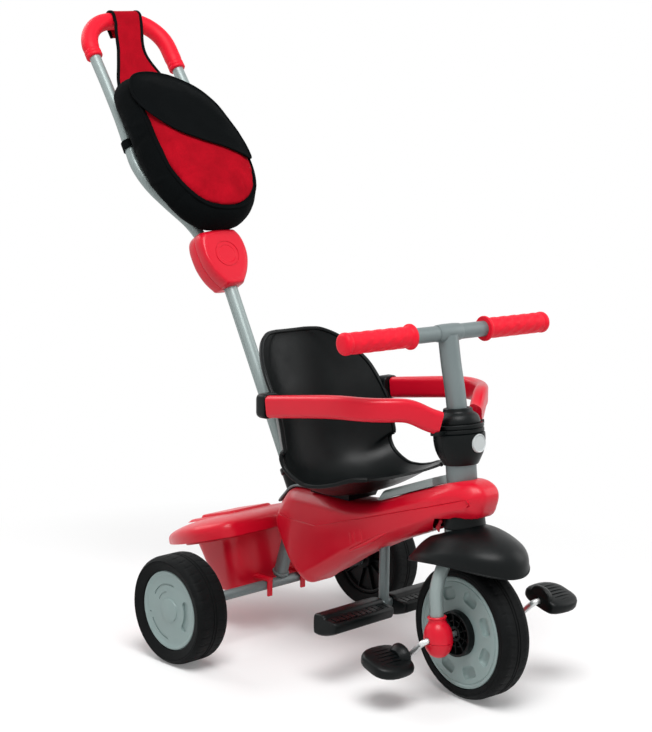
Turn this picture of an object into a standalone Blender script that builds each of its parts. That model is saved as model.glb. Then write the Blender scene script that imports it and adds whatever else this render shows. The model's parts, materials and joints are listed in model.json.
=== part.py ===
"""A child's push tricycle with a parent handle, as an assembly of separate pieces.

Metres, +Z up. It rides towards -Y, so its right side is -X. The origin lies on the ground
under the middle of its bounding box. Points of the frame are given from the ground under
the rear axle. The steering axis, the parent handle and the lid have frames of their own.
"""

import math

import bmesh
import bpy
from mathutils import Matrix, Vector

# Clearances
GAP = 0.0003
RUNNING_GAP = 0.0008
MERGE = 0.00001

# Whole trike
REAR_AXLE_Y = 0.0225
WHEELBASE = 0.407
HALF_TRACK = 0.245
RAKE = math.radians(6.2)
STEERING_TURN = math.radians(-6.85)

# Wheels
REAR_RADIUS = 0.085
REAR_WIDTH = 0.058
REAR_RIM_RADIUS = 0.0625
REAR_DISC_RECESS = 0.0075
FRONT_RADIUS = 0.100
FRONT_WIDTH = 0.052
FRONT_RIM_RADIUS = 0.083
TREAD_CROWN = 0.0012
TYRE_SHOULDER = 0.009
DISC_WALL = 0.004
HUB_RING_RADIUS = 0.034
HUB_RING_HEIGHT = 0.012
POCKET_COUNT = 8
WHEEL_SIDES = 24

# Rear axle and frame tubes
AXLE_TUBE_RADIUS = 0.008
AXLE_TUBE_HALF = HALF_TRACK - REAR_WIDTH - 0.003
AXLE_ROD_RADIUS = 0.004
AXLE_NUT_RADIUS = 0.011
SPINE_RADIUS = 0.016
STRUT_RADIUS = 0.0115
STRUT_FOOT = (0.005, 0.0945)
STRUT_TOP = (-0.036, 0.222)
SOCKET_RADIUS = 0.0165
SOCKET_BELOW = 0.034
SOCKET_ABOVE = 0.042

# Steering head
STEERER_RADIUS = 0.011
HEAD_TUBE_RADIUS = 0.0225
HEAD_TUBE_BORE = 0.0185
HEAD_TUBE_BOTTOM = 0.178
HEAD_TUBE_TOP = 0.262
BUSH_LENGTH = 0.016
BUSH_FLANGE = 0.003
CROWN_BOTTOM = 0.139
CROWN_TOP = 0.152
CROWN_RADIUS = 0.030
SLEEVE_RADIUS = 0.031
SLEEVE_TOP = 0.1715
TOGGLE_HEIGHT = 0.163
STEM_RADIUS = 0.015
COLLAR_BOTTOM = 0.2445
COLLAR_TOP = 0.327
COLLAR_RADIUS = 0.038
COLLAR_FOOT_RADIUS = 0.0262
COLLAR_LIP_RADIUS = 0.0212
COLLAR_SHOULDER = 0.291
COLLAR_NECK_RADIUS = 0.0285
KNUCKLE_HEIGHT = 0.0065
KNUCKLE_RADIUS = 0.037
BADGE_RADIUS = 0.0135
BADGE_HEIGHT = COLLAR_SHOULDER - BADGE_RADIUS - 0.001
BADGE_THICKNESS = 0.003

# Handle bar
BAR_RADIUS = 0.0115
BAR_HALF = 0.185
BAR_HEIGHT = 0.436
BAR_SETBACK = 0.011
GRIP_RADIUS = 0.0145
GRIP_LENGTH = 0.115
GRIP_FLANGE = 0.020
BAR_END_WALL = 0.004

# Fork, axle housings and pedals
FORK_SPREAD = 0.064
FORK_TUBE_RADIUS = 0.010
FORK_BEND_HEIGHT = 0.072
HOUSING_HALF_WIDTH = 0.0215
HOUSING_HALF_HEIGHT = 0.028
HOUSING_PART_LINE = -0.004
CRANK_ROD_RADIUS = 0.0045
CRANK_LENGTH = 0.048
CRANK_ARM_X = 0.0925
CRANK_ANGLE = math.radians(-138)
CRANK_BEND = 0.008
PEDAL_INNER_X = CRANK_ARM_X + CRANK_BEND + 0.001
PEDAL_LENGTH = 0.062
PEDAL_HALF_WIDTH = 0.036
PEDAL_HALF_HEIGHT = 0.011

# Fender
FENDER_WALL = 0.0025
FENDER_HALF_WIDTH = 0.069
FENDER_FRONT = 0.108
FENDER_REAR = 0.116
FENDER_TOP = 0.1575

# Body
BODY_HALF = 0.045
BODY_WALL = 0.0025
TRIM_WIDTH = 0.011
TRIM_THICKNESS = 0.005
COVER_HALF_WIDTH = 0.027
COVER_THICKNESS = 0.012

# Seat and safety arms
SEAT_WALL = 0.004
ARM_X = 0.136
ARM_WIDTH = 0.020
ARM_HEIGHT = 0.034
ARM_REAR_Y = -0.119
ARM_REAR_Z = 0.4085
ARM_SLOPE = 0.135
ARM_CORNER_Y = -0.262
ARM_CORNER_RADIUS = 0.090
ARM_CORNER_ANGLE = math.radians(58)

# Foot rest
POST_RADIUS = 0.008
POST_Y = -0.231
POST_TOP = 0.196
CROSS_HALF = 0.142
CROSS_Z = 0.100
PAD_INNER_X = 0.012
PAD_OUTER_X = 0.140
PAD_FRONT = 0.034
PAD_DROP = 0.021

# Storage tub and lid
TUB_WALL = 0.0025
TUB_FRONT_Y = 0.020
TUB_RIM_HALF = 0.1275
LID_WALL = 0.0025
LID_SLOPE = math.radians(16)
LID_FRONT_Y = 0.005
LID_RIM_Z = 0.177
LID_LENGTH = 0.275
LID_HALF_WIDTH = 0.130
LID_CROWN = 0.034
HOOK_X = 0.037
HOOK_WIDTH = 0.011

# Parent handle
HANDLE_BASE = (-0.035, 0.243)
HANDLE_LEAN = math.radians(27.5)
LOOP_LEAN = math.radians(8.5)
HANDLE_TUBE_HALF = 0.0113
HANDLE_TUBE_TOP = 0.398
CLAMP_BOTTOM = 0.357
CLAMP_TOP = 0.456
CLAMP_HALF_WIDTH = 0.043
CLAMP_FRONT_DEPTH = 0.022
CLAMP_REAR_DEPTH = 0.025
LOOP_START = 0.430
LOOP_TUBE_RADIUS = 0.010
LOOP_ENTRY_X = 0.0225
LOOP_HALF_WIDTH = 0.078
LOOP_BULGE = 0.087
LOOP_TOP = 0.474
ARCH_RADIUS = 0.062
ARCH_GRIP_RADIUS = 0.015
ARCH_GRIP_DROP = 0.078

# Bag
TAPE_THICKNESS = 0.0018
BAG_BACK = LOOP_TUBE_RADIUS + TAPE_THICKNESS + 3 * GAP
BAG_DEPTH = 0.058
BAG_HALF_WIDTH = 0.090
BAG_BOTTOM = 0.024
BAG_TOP = 0.318
FLAP_THICKNESS = 0.004
STRAP_THICKNESS = 0.002
STRAP_HALF_WIDTH = 0.032
TAPE_WIDTH = 0.016
TAPE_HEIGHT = 0.212

# Colours: base colour, roughness, metallic
FINISHES = {
    "red_plastic": ((0.78, 0.006, 0.022), 0.32, 0.0),
    "grey_paint": ((0.30, 0.345, 0.34), 0.40, 0.35),
    "light_grey_paint": ((0.44, 0.49, 0.485), 0.38, 0.35),
    "black_plastic": ((0.012, 0.014, 0.015), 0.45, 0.0),
    "black_rubber": ((0.010, 0.010, 0.011), 0.75, 0.0),
    "wheel_grey": ((0.29, 0.34, 0.34), 0.42, 0.0),
    "steel": ((0.62, 0.63, 0.63), 0.30, 1.0),
    "silver": ((0.55, 0.58, 0.58), 0.35, 0.6),
    "red_fabric": ((0.36, 0.012, 0.022), 0.90, 0.0),
    "black_fabric": ((0.010, 0.013, 0.014), 0.92, 0.0),
    "red_rubber": ((0.80, 0.018, 0.022), 0.50, 0.0),
}


# Scene, collections and materials

def clear_scene():
    for old in list(bpy.data.objects):
        bpy.data.objects.remove(old, do_unlink=True)


def make_collection(name):
    collection = bpy.data.collections.new(name)
    bpy.context.scene.collection.children.link(collection)
    return collection


clear_scene()
PARTS = make_collection("tricycle")
GUIDES = make_collection("guides")


def material(finish):
    found = bpy.data.materials.get(finish)
    if found:
        return found
    colour, roughness, metallic = FINISHES[finish]
    made = bpy.data.materials.new(finish)
    made.use_nodes = True
    shader = made.node_tree.nodes["Principled BSDF"]
    shader.inputs["Base Color"].default_value = (*colour, 1.0)
    shader.inputs["Roughness"].default_value = roughness
    shader.inputs["Metallic"].default_value = metallic
    return made


# Placing objects

def empty(name, parent=None, place=(0.0, 0.0, 0.0), turn=(0.0, 0.0, 0.0)):
    made = bpy.data.objects.new(name, None)
    GUIDES.objects.link(made)
    made.location = place
    made.rotation_euler = turn
    made.parent = parent
    made.hide_render = True
    made.empty_display_size = 0.02
    return made


def part(name, data, finish, parent, place=(0.0, 0.0, 0.0), turn=(0.0, 0.0, 0.0)):
    made = bpy.data.objects.new(name, data)
    PARTS.objects.link(made)
    made.location = place
    made.rotation_euler = turn
    made.parent = parent
    data.materials.append(material(finish))
    return made


def guide(name, data, parent, place=(0.0, 0.0, 0.0), turn=(0.0, 0.0, 0.0)):
    made = bpy.data.objects.new(name, data)
    GUIDES.objects.link(made)
    made.location = place
    made.rotation_euler = turn
    made.parent = parent
    made.hide_render = True
    made.display_type = "WIRE"
    return made


# Shapes

def mesh_of(build):
    """A mesh from a function that fills a bmesh."""
    shape = bmesh.new()
    build(shape)
    bmesh.ops.recalc_face_normals(shape, faces=shape.faces)
    mesh = bpy.data.meshes.new("shape")
    shape.to_mesh(mesh)
    shape.free()
    return mesh


def box_mesh(low, high):
    size = [high[i] - low[i] for i in range(3)]
    middle = [(high[i] + low[i]) / 2 for i in range(3)]

    def build(shape):
        placed = Matrix.Translation(middle) @ Matrix.Diagonal((*size, 1.0))
        bmesh.ops.create_cube(shape, size=1.0, matrix=placed)

    return mesh_of(build)


def cylinder_mesh(radius, start, end, sides=24, end_radius=None):
    """A cylinder or cone between two points."""
    line = Vector(end) - Vector(start)
    middle = (Vector(end) + Vector(start)) / 2
    facing = line.to_track_quat("Z", "Y").to_matrix().to_4x4()
    top = radius if end_radius is None else end_radius

    def build(shape):
        bmesh.ops.create_cone(shape, cap_ends=True, segments=sides, radius1=radius,
                              radius2=top, depth=line.length,
                              matrix=Matrix.Translation(middle) @ facing)

    return mesh_of(build)


def loft_mesh(rings, close_start=True, close_end=True, cyclic=True):
    """A skin through rings that have the same number of points."""
    count = len(rings[0])

    def build(shape):
        rows = [[shape.verts.new(point) for point in ring] for ring in rings]
        last = count if cyclic else count - 1
        for row, following in zip(rows, rows[1:]):
            for i in range(last):
                j = (i + 1) % count
                shape.faces.new((row[i], row[j], following[j], following[i]))
        if close_start:
            shape.faces.new(rows[0])
        if close_end:
            shape.faces.new(rows[-1])

    return mesh_of(build)


def smooth(made, angle=35.0):
    if made.type == "MESH":
        made.data.shade_smooth()
        made.data.set_sharp_from_angle(angle=math.radians(angle))
    return made


def turned(name, profile, finish, parent, place=(0.0, 0.0, 0.0), turn=(0.0, 0.0, 0.0),
           ring=False, sides=28, as_guide=False):
    """A Screw round local Z. The profile, (radius, height), runs down its outer side."""
    mesh = bpy.data.meshes.new(name)
    points = [(radius, 0.0, height) for radius, height in profile]
    edges = [(i, i + 1) for i in range(len(points) - 1)]
    if ring:
        edges.append((len(points) - 1, 0))
    mesh.from_pydata(points, edges, [])
    if as_guide:
        made = guide(name, mesh, parent, place, turn)
    else:
        made = part(name, mesh, finish, parent, place, turn)
    screw = made.modifiers.new("turn", "SCREW")
    screw.steps = sides
    screw.render_steps = sides
    screw.use_merge_vertices = True
    screw.merge_threshold = MERGE
    return made


def tube_curve(name, points, radius, sides=12):
    """A round tube along a run of points."""
    curve = bpy.data.curves.new(name, "CURVE")
    curve.dimensions = "3D"
    curve.bevel_depth = radius
    curve.bevel_resolution = sides // 4 - 1 + (1 if sides % 4 else 0)
    curve.use_fill_caps = True
    run = curve.splines.new("POLY")
    run.points.add(len(points) - 1)
    for place, point in zip(run.points, points):
        place.co = (*point, 1.0)
    return curve


def outline_curve(name, outlines, half_thickness, bevel=0.0):
    """A flat outline in local XY, with holes, extruded both ways along Z."""
    curve = bpy.data.curves.new(name, "CURVE")
    curve.dimensions = "2D"
    curve.fill_mode = "BOTH"
    curve.extrude = half_thickness - bevel
    curve.bevel_depth = bevel
    curve.bevel_resolution = 1
    curve.offset = -bevel
    for outline in outlines:
        run = curve.splines.new("POLY")
        run.points.add(len(outline) - 1)
        for place, (x, y) in zip(run.points, outline):
            place.co = (x, y, 0.0, 1.0)
        run.use_cyclic_u = True
    return curve


def as_mesh(data):
    """A curve's tube as a welded mesh, ready for a cut."""
    holder = bpy.data.objects.new("holder", data)
    GUIDES.objects.link(holder)
    bpy.context.view_layer.update()
    graph = bpy.context.evaluated_depsgraph_get()
    mesh = bpy.data.meshes.new_from_object(holder.evaluated_get(graph))
    bpy.data.objects.remove(holder, do_unlink=True)
    shape = bmesh.new()
    shape.from_mesh(mesh)
    bmesh.ops.remove_doubles(shape, verts=shape.verts, dist=MERGE)
    bmesh.ops.recalc_face_normals(shape, faces=shape.faces)
    shape.to_mesh(mesh)
    shape.free()
    return mesh


def cut(made, cutter, operation="DIFFERENCE"):
    step = made.modifiers.new(operation.lower(), "BOOLEAN")
    step.operation = operation
    step.object = cutter


def shelled(made, wall, inward=True):
    skin = made.modifiers.new("wall", "SOLIDIFY")
    skin.thickness = wall
    skin.offset = -1.0 if inward else 1.0
    skin.use_even_offset = True
    return made


def arc(centre, radius, start, end, count):
    """Points on an arc, angles in degrees."""
    points = []
    for i in range(count + 1):
        angle = math.radians(start + (end - start) * i / count)
        points.append((centre[0] + radius * math.cos(angle), centre[1] + radius * math.sin(angle)))
    return points


def smooth_run(points, steps):
    """A Catmull-Rom run through the points."""
    run = []
    last = len(points) - 1
    for i in range(last):
        before = Vector(points[max(i - 1, 0)])
        start = Vector(points[i])
        end = Vector(points[i + 1])
        after = Vector(points[min(i + 2, last)])
        for k in range(steps):
            t = k / steps
            run.append(0.5 * (2 * start + (end - before) * t
                              + (2 * before - 5 * start + 4 * end - after) * t * t
                              + (3 * start - before - 3 * end + after) * t ** 3))
    run.append(Vector(points[last]))
    return run


# Frames that the pieces hang on

CHASSIS = empty("chassis", None, (0.0, REAR_AXLE_Y, 0.0))
HEAD = empty("head_axis", CHASSIS, (0.0, -WHEELBASE, FRONT_RADIUS), (-RAKE, 0.0, 0.0))
STEERING = empty("steering_axis", HEAD, turn=(0.0, 0.0, STEERING_TURN))
FRONT_SPIN = empty("front_wheel_axis", STEERING, turn=(RAKE, 0.0, 0.0))
HANDLE = empty("handle_axis", CHASSIS, (0.0, *HANDLE_BASE), (-HANDLE_LEAN, 0.0, 0.0))
HANDLE_TURN = empty("handle_turn_axis", HANDLE, turn=(0.0, 0.0, STEERING_TURN))
LOOP = empty("loop_plane", HANDLE_TURN, (0.0, 0.0, LOOP_START), (-LOOP_LEAN, 0.0, 0.0))
LID_HINGE = empty("lid_hinge", CHASSIS, (0.0, LID_FRONT_Y, LID_RIM_Z), (-LID_SLOPE, 0.0, 0.0))
SIDE_NAMES = ("right", "left")
ALONG_X = (0.0, math.pi / 2, 0.0)


def side_sign(side_name):
    """The sign of x on that side."""
    return -1.0 if side_name == "right" else 1.0


# Wheels

def wheel_part(name, profile, finish, parent, x, side, closed=True):
    """A turned wheel piece whose local Z points outwards and which rests on a flat."""
    made = turned(name, profile, finish, parent, (x, 0.0, 0.0), (0.0, side * math.pi / 2, 0.0),
                  ring=closed, sides=WHEEL_SIDES)
    half_step = Matrix.Rotation(-math.pi / WHEEL_SIDES, 4, "Z")
    made.data.transform(half_step)
    return made


def tyre_profile(radius, rim, half, side_lip):
    tread = radius / math.cos(math.pi / WHEEL_SIDES)
    upper = [
        (rim, half - side_lip),
        (tread - TYRE_SHOULDER, half),
        (tread - TREAD_CROWN, half - TYRE_SHOULDER),
        (tread, half * 0.35),
    ]
    lower = [(across, -height) for across, height in reversed(upper)]
    return upper + lower


def rear_wheel(side_name):
    side = side_sign(side_name)
    half = REAR_WIDTH / 2
    centre = side * (HALF_TRACK - half)
    spin = empty("rear_wheel_axis_" + side_name, CHASSIS, (centre, 0.0, REAR_RADIUS))
    wheel_part("rear_tyre_" + side_name, tyre_profile(REAR_RADIUS, REAR_RIM_RADIUS, half, 0.002),
               "black_rubber", spin, 0.0, side)
    disc_radius = REAR_RIM_RADIUS - GAP
    face = half - REAR_DISC_RECESS
    bore = AXLE_ROD_RADIUS + RUNNING_GAP
    hub = 0.016
    nut_room = 0.011
    outer = [
        (0.0, face + 0.001),
        (0.020, face + 0.001),
        (0.024, face - 0.001),
        (disc_radius - 0.008, face - 0.001),
        (disc_radius - 0.005, face + 0.001),
        (disc_radius, face),
        (disc_radius, 0.001),
        (disc_radius - DISC_WALL, 0.001),
        (disc_radius - DISC_WALL, face - DISC_WALL),
        (hub, face - DISC_WALL),
        (hub, GAP),
        (AXLE_NUT_RADIUS + RUNNING_GAP, GAP),
        (AXLE_NUT_RADIUS + RUNNING_GAP, nut_room),
        (0.0, nut_room),
    ]
    wheel_part("rear_disc_outer_" + side_name, outer, "wheel_grey", spin, 0.0, side, closed=False)
    inner_face = half - 0.010
    inner = [
        (bore, half - 0.001),
        (hub, half - 0.001),
        (hub, inner_face),
        (disc_radius, inner_face),
        (disc_radius, 0.001),
        (disc_radius - DISC_WALL, 0.001),
        (disc_radius - DISC_WALL, inner_face - DISC_WALL),
        (hub, inner_face - DISC_WALL),
        (hub, GAP),
        (bore, GAP),
    ]
    wheel_part("rear_disc_inner_" + side_name, inner, "black_plastic", spin, 0.0, -side)


def pocket_cutter(parent, x, side, face):
    """Rounded pockets in a ring round the hub."""
    ring_radius = (FRONT_RIM_RADIUS + HUB_RING_RADIUS) / 2
    blocks = bmesh.new()
    for i in range(POCKET_COUNT):
        angle = 2 * math.pi * (i + 0.5) / POCKET_COUNT
        turned_to = Matrix.Rotation(angle, 4, "Z") @ Matrix.Translation((ring_radius, 0.0, face))
        shape = turned_to @ Matrix.Diagonal((0.016, 0.025, 0.005, 1.0))
        made = bmesh.ops.create_cube(blocks, size=1.0, matrix=shape)
        upright = {edge for vert in made["verts"] for edge in vert.link_edges
                   if abs(edge.verts[0].co.z - edge.verts[1].co.z) > 0.001}
        bmesh.ops.bevel(blocks, geom=list(upright), offset=0.006, segments=1,
                        profile=0.5, affect="EDGES")
    mesh = bpy.data.meshes.new("pockets")
    blocks.to_mesh(mesh)
    blocks.free()
    return guide("pockets", mesh, parent, (x, 0.0, 0.0), (0.0, side * math.pi / 2, 0.0))


def front_wheel():
    half = FRONT_WIDTH / 2
    wheel_part("front_tyre", tyre_profile(FRONT_RADIUS, FRONT_RIM_RADIUS, half, 0.001),
               "black_rubber", FRONT_SPIN, 0.0, 1.0)
    radius = FRONT_RIM_RADIUS - GAP
    face = half - 0.002
    bore = CRANK_ROD_RADIUS + GAP
    hub = 0.013
    profile = [
        (bore, face),
        (radius - 0.003, face),
        (radius, face - 0.002),
        (radius, GAP),
        (radius - DISC_WALL, GAP),
        (radius - DISC_WALL, face - DISC_WALL),
        (hub, face - DISC_WALL),
        (hub, GAP),
        (bore, GAP),
    ]
    ring_inner = 0.021
    ring = [
        (ring_inner, face + HUB_RING_HEIGHT),
        (HUB_RING_RADIUS - 0.003, face + HUB_RING_HEIGHT),
        (HUB_RING_RADIUS, face + HUB_RING_HEIGHT - 0.003),
        (HUB_RING_RADIUS, face + GAP),
        (ring_inner, face + GAP),
    ]
    for side_name in SIDE_NAMES:
        side = side_sign(side_name)
        disc = wheel_part("front_disc_" + side_name, profile, "wheel_grey", FRONT_SPIN, 0.0, side)
        cut(disc, pocket_cutter(FRONT_SPIN, 0.0, side, face))
        wheel_part("hub_ring_" + side_name, ring, "black_plastic", FRONT_SPIN, 0.0, side)


def crank_point(side, x, reach):
    angle = CRANK_ANGLE if side < 0 else CRANK_ANGLE + math.pi
    return (side * x, -reach * math.cos(angle), reach * math.sin(angle))


def crank_rod():
    """One bent steel rod: pedal pin, arm, wheel axle, arm and pedal pin."""
    corner = CRANK_BEND
    pin_end = PEDAL_INNER_X + PEDAL_LENGTH - 0.004
    half_run = [
        (CRANK_ARM_X - corner, 0.0),
        (CRANK_ARM_X - corner * 0.3, corner * 0.3),
        (CRANK_ARM_X, corner),
        (CRANK_ARM_X, CRANK_LENGTH - corner),
        (CRANK_ARM_X + corner * 0.3, CRANK_LENGTH - corner * 0.3),
        (CRANK_ARM_X + corner, CRANK_LENGTH),
        (pin_end, CRANK_LENGTH),
    ]
    right = [crank_point(-1.0, x, reach) for x, reach in reversed(half_run)]
    left = [crank_point(1.0, x, reach) for x, reach in half_run]
    part("crank_rod", tube_curve("crank_rod", right + left, CRANK_ROD_RADIUS, 8), "steel",
         FRONT_SPIN)


def pedal(side_name):
    """A rounded block on its pin, with a waist and two long slots in its tread."""
    side = side_sign(side_name)
    _, y, z = crank_point(side, 0.0, CRANK_LENGTH)
    spin = empty("pedal_axis_" + side_name, FRONT_SPIN, (0.0, y, z), (0.25, 0.0, 0.0))
    rings = []
    for share, width, height in ((0.0, 0.72, 0.8), (0.06, 0.9, 1.0), (0.5, 1.0, 1.0),
                                 (0.94, 0.9, 1.0), (1.0, 0.72, 0.8)):
        x = side * (PEDAL_INNER_X + PEDAL_LENGTH * share)
        across = PEDAL_HALF_WIDTH * width
        thick = PEDAL_HALF_HEIGHT * height
        ring = []
        for i in range(12):
            angle = 2 * math.pi * (i + 0.5) / 12
            away = math.copysign(abs(math.cos(angle)) ** 0.7, math.cos(angle))
            up = math.copysign(abs(math.sin(angle)) ** 0.5, math.sin(angle))
            ring.append((x, across * away, thick * up))
        rings.append(ring)
    made = smooth(part("pedal_" + side_name, loft_mesh(rings), "black_plastic", spin))
    hole_end = side * (PEDAL_INNER_X + PEDAL_LENGTH - 0.003)
    hole = cylinder_mesh(CRANK_ROD_RADIUS + RUNNING_GAP, (side * (PEDAL_INNER_X - 0.002), 0, 0),
                         (hole_end, 0, 0), 12)
    cut(made, guide("pedal_hole", hole, spin))


# Rear axle and spine

def axle_tube():
    half = AXLE_TUBE_HALF
    bore = AXLE_ROD_RADIUS + RUNNING_GAP
    profile = [(bore, half), (AXLE_TUBE_RADIUS, half), (AXLE_TUBE_RADIUS, -half), (bore, -half)]
    turned("axle_tube", profile, "grey_paint", CHASSIS, (0.0, 0.0, REAR_RADIUS), ALONG_X,
           ring=True, sides=16)


def rear_axle_rod():
    """The rod and its two end nuts, which sit inside the outer discs."""
    centre = HALF_TRACK - REAR_WIDTH / 2
    nut_start = centre + GAP * 2
    nut_end = nut_start + 0.0095
    profile = [
        (0.0, nut_end + 0.0005),
        (AXLE_ROD_RADIUS, nut_end + 0.0005),
        (AXLE_ROD_RADIUS, nut_end),
        (AXLE_NUT_RADIUS, nut_end),
        (AXLE_NUT_RADIUS, nut_start),
        (AXLE_ROD_RADIUS, nut_start),
    ]
    mirrored = [(radius, -height) for radius, height in reversed(profile)]
    turned("rear_axle_rod", profile + mirrored, "steel", CHASSIS, (0.0, 0.0, REAR_RADIUS),
           ALONG_X, sides=12)


def side_point(point, x=0.0):
    return (x, point[0], point[1])


def main_tube():
    """The hidden spine from the head tube and the strut that it is welded to."""
    foot = Vector(side_point(STRUT_FOOT))
    top = Vector(side_point(STRUT_TOP))
    strut = part("main_tube", cylinder_mesh(STRUT_RADIUS, foot, top, 20), "grey_paint", CHASSIS)
    spine = [side_point(p) for p in ((-0.366, 0.290), (-0.330, 0.281), (-0.180, 0.226),
                                     (-0.100, 0.202), (-0.026, 0.192))]
    cut(strut, guide("spine", as_mesh(tube_curve("spine", spine, SPINE_RADIUS * 0.7, 12)),
                     CHASSIS), "UNION")
    near_head = cylinder_mesh(HEAD_TUBE_RADIUS + GAP, (0, 0, 0.10), (0, 0, 0.26), 28)
    cut(strut, guide("head_clear", near_head, HEAD))
    around_axle = cylinder_mesh(AXLE_TUBE_RADIUS + GAP, (-0.03, 0, REAR_RADIUS),
                                (0.03, 0, REAR_RADIUS), 20)
    cut(strut, guide("axle_clear", around_axle, CHASSIS))


def handle_socket():
    """The sleeve over the strut's top that the parent handle turns in."""
    bore = HANDLE_TUBE_HALF + RUNNING_GAP
    floor = -0.006
    profile = [
        (0.0, floor),
        (bore, floor),
        (bore, SOCKET_ABOVE),
        (SOCKET_RADIUS - 0.0015, SOCKET_ABOVE),
        (SOCKET_RADIUS, SOCKET_ABOVE - 0.002),
        (SOCKET_RADIUS, SOCKET_ABOVE - 0.010),
        (SOCKET_RADIUS - 0.0015, SOCKET_ABOVE - 0.012),
        (SOCKET_RADIUS - 0.0015, -SOCKET_BELOW),
        (0.0, -SOCKET_BELOW),
    ]
    made = turned("handle_socket", profile, "black_plastic", HANDLE, sides=20)
    foot = Vector(side_point(STRUT_FOOT))
    top = Vector(side_point(STRUT_TOP))
    past = top + (top - foot).normalized() * GAP
    hole = cylinder_mesh(STRUT_RADIUS + GAP, foot, past, 20)
    cut(made, guide("strut_clear", hole, CHASSIS))


# Steering head

def head_tube():
    profile = [
        (HEAD_TUBE_BORE, HEAD_TUBE_TOP),
        (HEAD_TUBE_RADIUS, HEAD_TUBE_TOP),
        (HEAD_TUBE_RADIUS, HEAD_TUBE_BOTTOM),
        (HEAD_TUBE_BORE, HEAD_TUBE_BOTTOM),
    ]
    turned("head_tube", profile, "grey_paint", HEAD, ring=True, sides=24)


def headset_bush(name, seat, flange_end, barrel_end):
    """A flanged bush: the flange lies on the tube's end and the barrel reaches inside."""
    bore = STEERER_RADIUS + GAP
    barrel = HEAD_TUBE_BORE - GAP
    flange = HEAD_TUBE_RADIUS
    profile = [(bore, flange_end), (flange, flange_end), (flange, seat), (barrel, seat),
               (barrel, barrel_end), (bore, barrel_end)]
    if flange_end < seat:
        profile.reverse()
    turned(name, profile, "black_plastic", HEAD, ring=True, sides=16)


def fork_leg_run(side):
    start = HOUSING_HALF_HEIGHT - 0.020
    knee = FORK_BEND_HEIGHT
    top = Vector((side * 0.021, 0.0, CROWN_BOTTOM + 0.006))
    middle = Vector((side * FORK_SPREAD, 0.0, knee))
    bend = 0.020
    run = [Vector((side * FORK_SPREAD, 0.0, start))]
    before = middle - Vector((0.0, 0.0, bend))
    after = middle + (top - middle).normalized() * bend
    for i in range(6):
        t = i / 5
        run.append(before * (1 - t) ** 2 + middle * 2 * t * (1 - t) + after * t ** 2)
    run.append(top)
    return run


def fork():
    top = HEAD_TUBE_TOP + BUSH_FLANGE + 0.0015
    profile = [
        (0.0, top),
        (STEERER_RADIUS, top),
        (STEERER_RADIUS, CROWN_TOP),
        (CROWN_RADIUS - 0.001, CROWN_TOP),
        (CROWN_RADIUS, CROWN_TOP - 0.002),
        (CROWN_RADIUS, CROWN_BOTTOM),
        (0.0, CROWN_BOTTOM),
    ]
    made = turned("fork", profile, "light_grey_paint", STEERING, sides=20)
    for side in (-1.0, 1.0):
        leg = as_mesh(tube_curve("fork_leg", fork_leg_run(side), FORK_TUBE_RADIUS, 12))
        cut(made, guide("fork_leg", leg, STEERING), "UNION")


def crown_sleeve():
    bore = STEERER_RADIUS + GAP
    bottom = CROWN_TOP + GAP
    profile = [(bore, SLEEVE_TOP), (SLEEVE_RADIUS - 0.001, SLEEVE_TOP),
               (SLEEVE_RADIUS, SLEEVE_TOP - 0.001), (SLEEVE_RADIUS, bottom), (bore, bottom)]
    turned("crown_sleeve", profile, "black_plastic", STEERING, ring=True, sides=24)


def stem():
    """A tube that leans back above the collar and ends in a sleeve round the bar."""
    bottom = HEAD_TUBE_TOP + BUSH_FLANGE + 0.0015 + GAP
    run = smooth_run([(0, 0, bottom), (0, 0, 0.300), (0, 0.003, 0.350), (0, 0.008, 0.390),
                      (0, BAR_SETBACK, BAR_HEIGHT - 0.004)], 3)
    made = smooth(part("stem", as_mesh(tube_curve("stem", run, STEM_RADIUS, 16)), "grey_paint",
                       STEERING))
    sleeve = cylinder_mesh(BAR_RADIUS + 0.0045, (-0.030, BAR_SETBACK, BAR_HEIGHT),
                           (0.030, BAR_SETBACK, BAR_HEIGHT), 24)
    cut(made, guide("bar_sleeve", sleeve, STEERING), "UNION")
    bore = cylinder_mesh(BAR_RADIUS + GAP, (-0.040, BAR_SETBACK, BAR_HEIGHT),
                         (0.040, BAR_SETBACK, BAR_HEIGHT), 24)
    cut(made, guide("bar_clear", bore, STEERING))


def crossbar():
    bar = cylinder_mesh(BAR_RADIUS, (-BAR_HALF, 0, 0), (BAR_HALF, 0, 0), 24)
    smooth(part("crossbar", bar, "grey_paint", STEERING, (0.0, BAR_SETBACK, BAR_HEIGHT)))


def grip(side_name):
    side = side_sign(side_name)
    bore = BAR_RADIUS + GAP
    floor = BAR_HALF + GAP
    end = floor + 0.011
    start = floor - GRIP_LENGTH
    profile = [(0.0, floor), (bore, floor)]
    profile.reverse()
    outer = [(0.0, end), (GRIP_RADIUS - 0.003, end), (GRIP_RADIUS + 0.001, end - 0.003),
             (GRIP_RADIUS + 0.001, end - 0.008)]
    waves = 5
    for i in range(waves):
        height = end - 0.013 - i * 0.019
        outer.append((GRIP_RADIUS - 0.0008, height))
        outer.append((GRIP_RADIUS + 0.0004, height - 0.0095))
    outer += [(GRIP_RADIUS, start + 0.006), (GRIP_FLANGE, start + 0.004),
              (GRIP_FLANGE, start), (bore, start)]
    turned("grip_" + side_name, outer + profile, "red_rubber", STEERING,
           (0.0, BAR_SETBACK, BAR_HEIGHT), (0.0, side * math.pi / 2, 0.0), sides=14)


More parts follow.
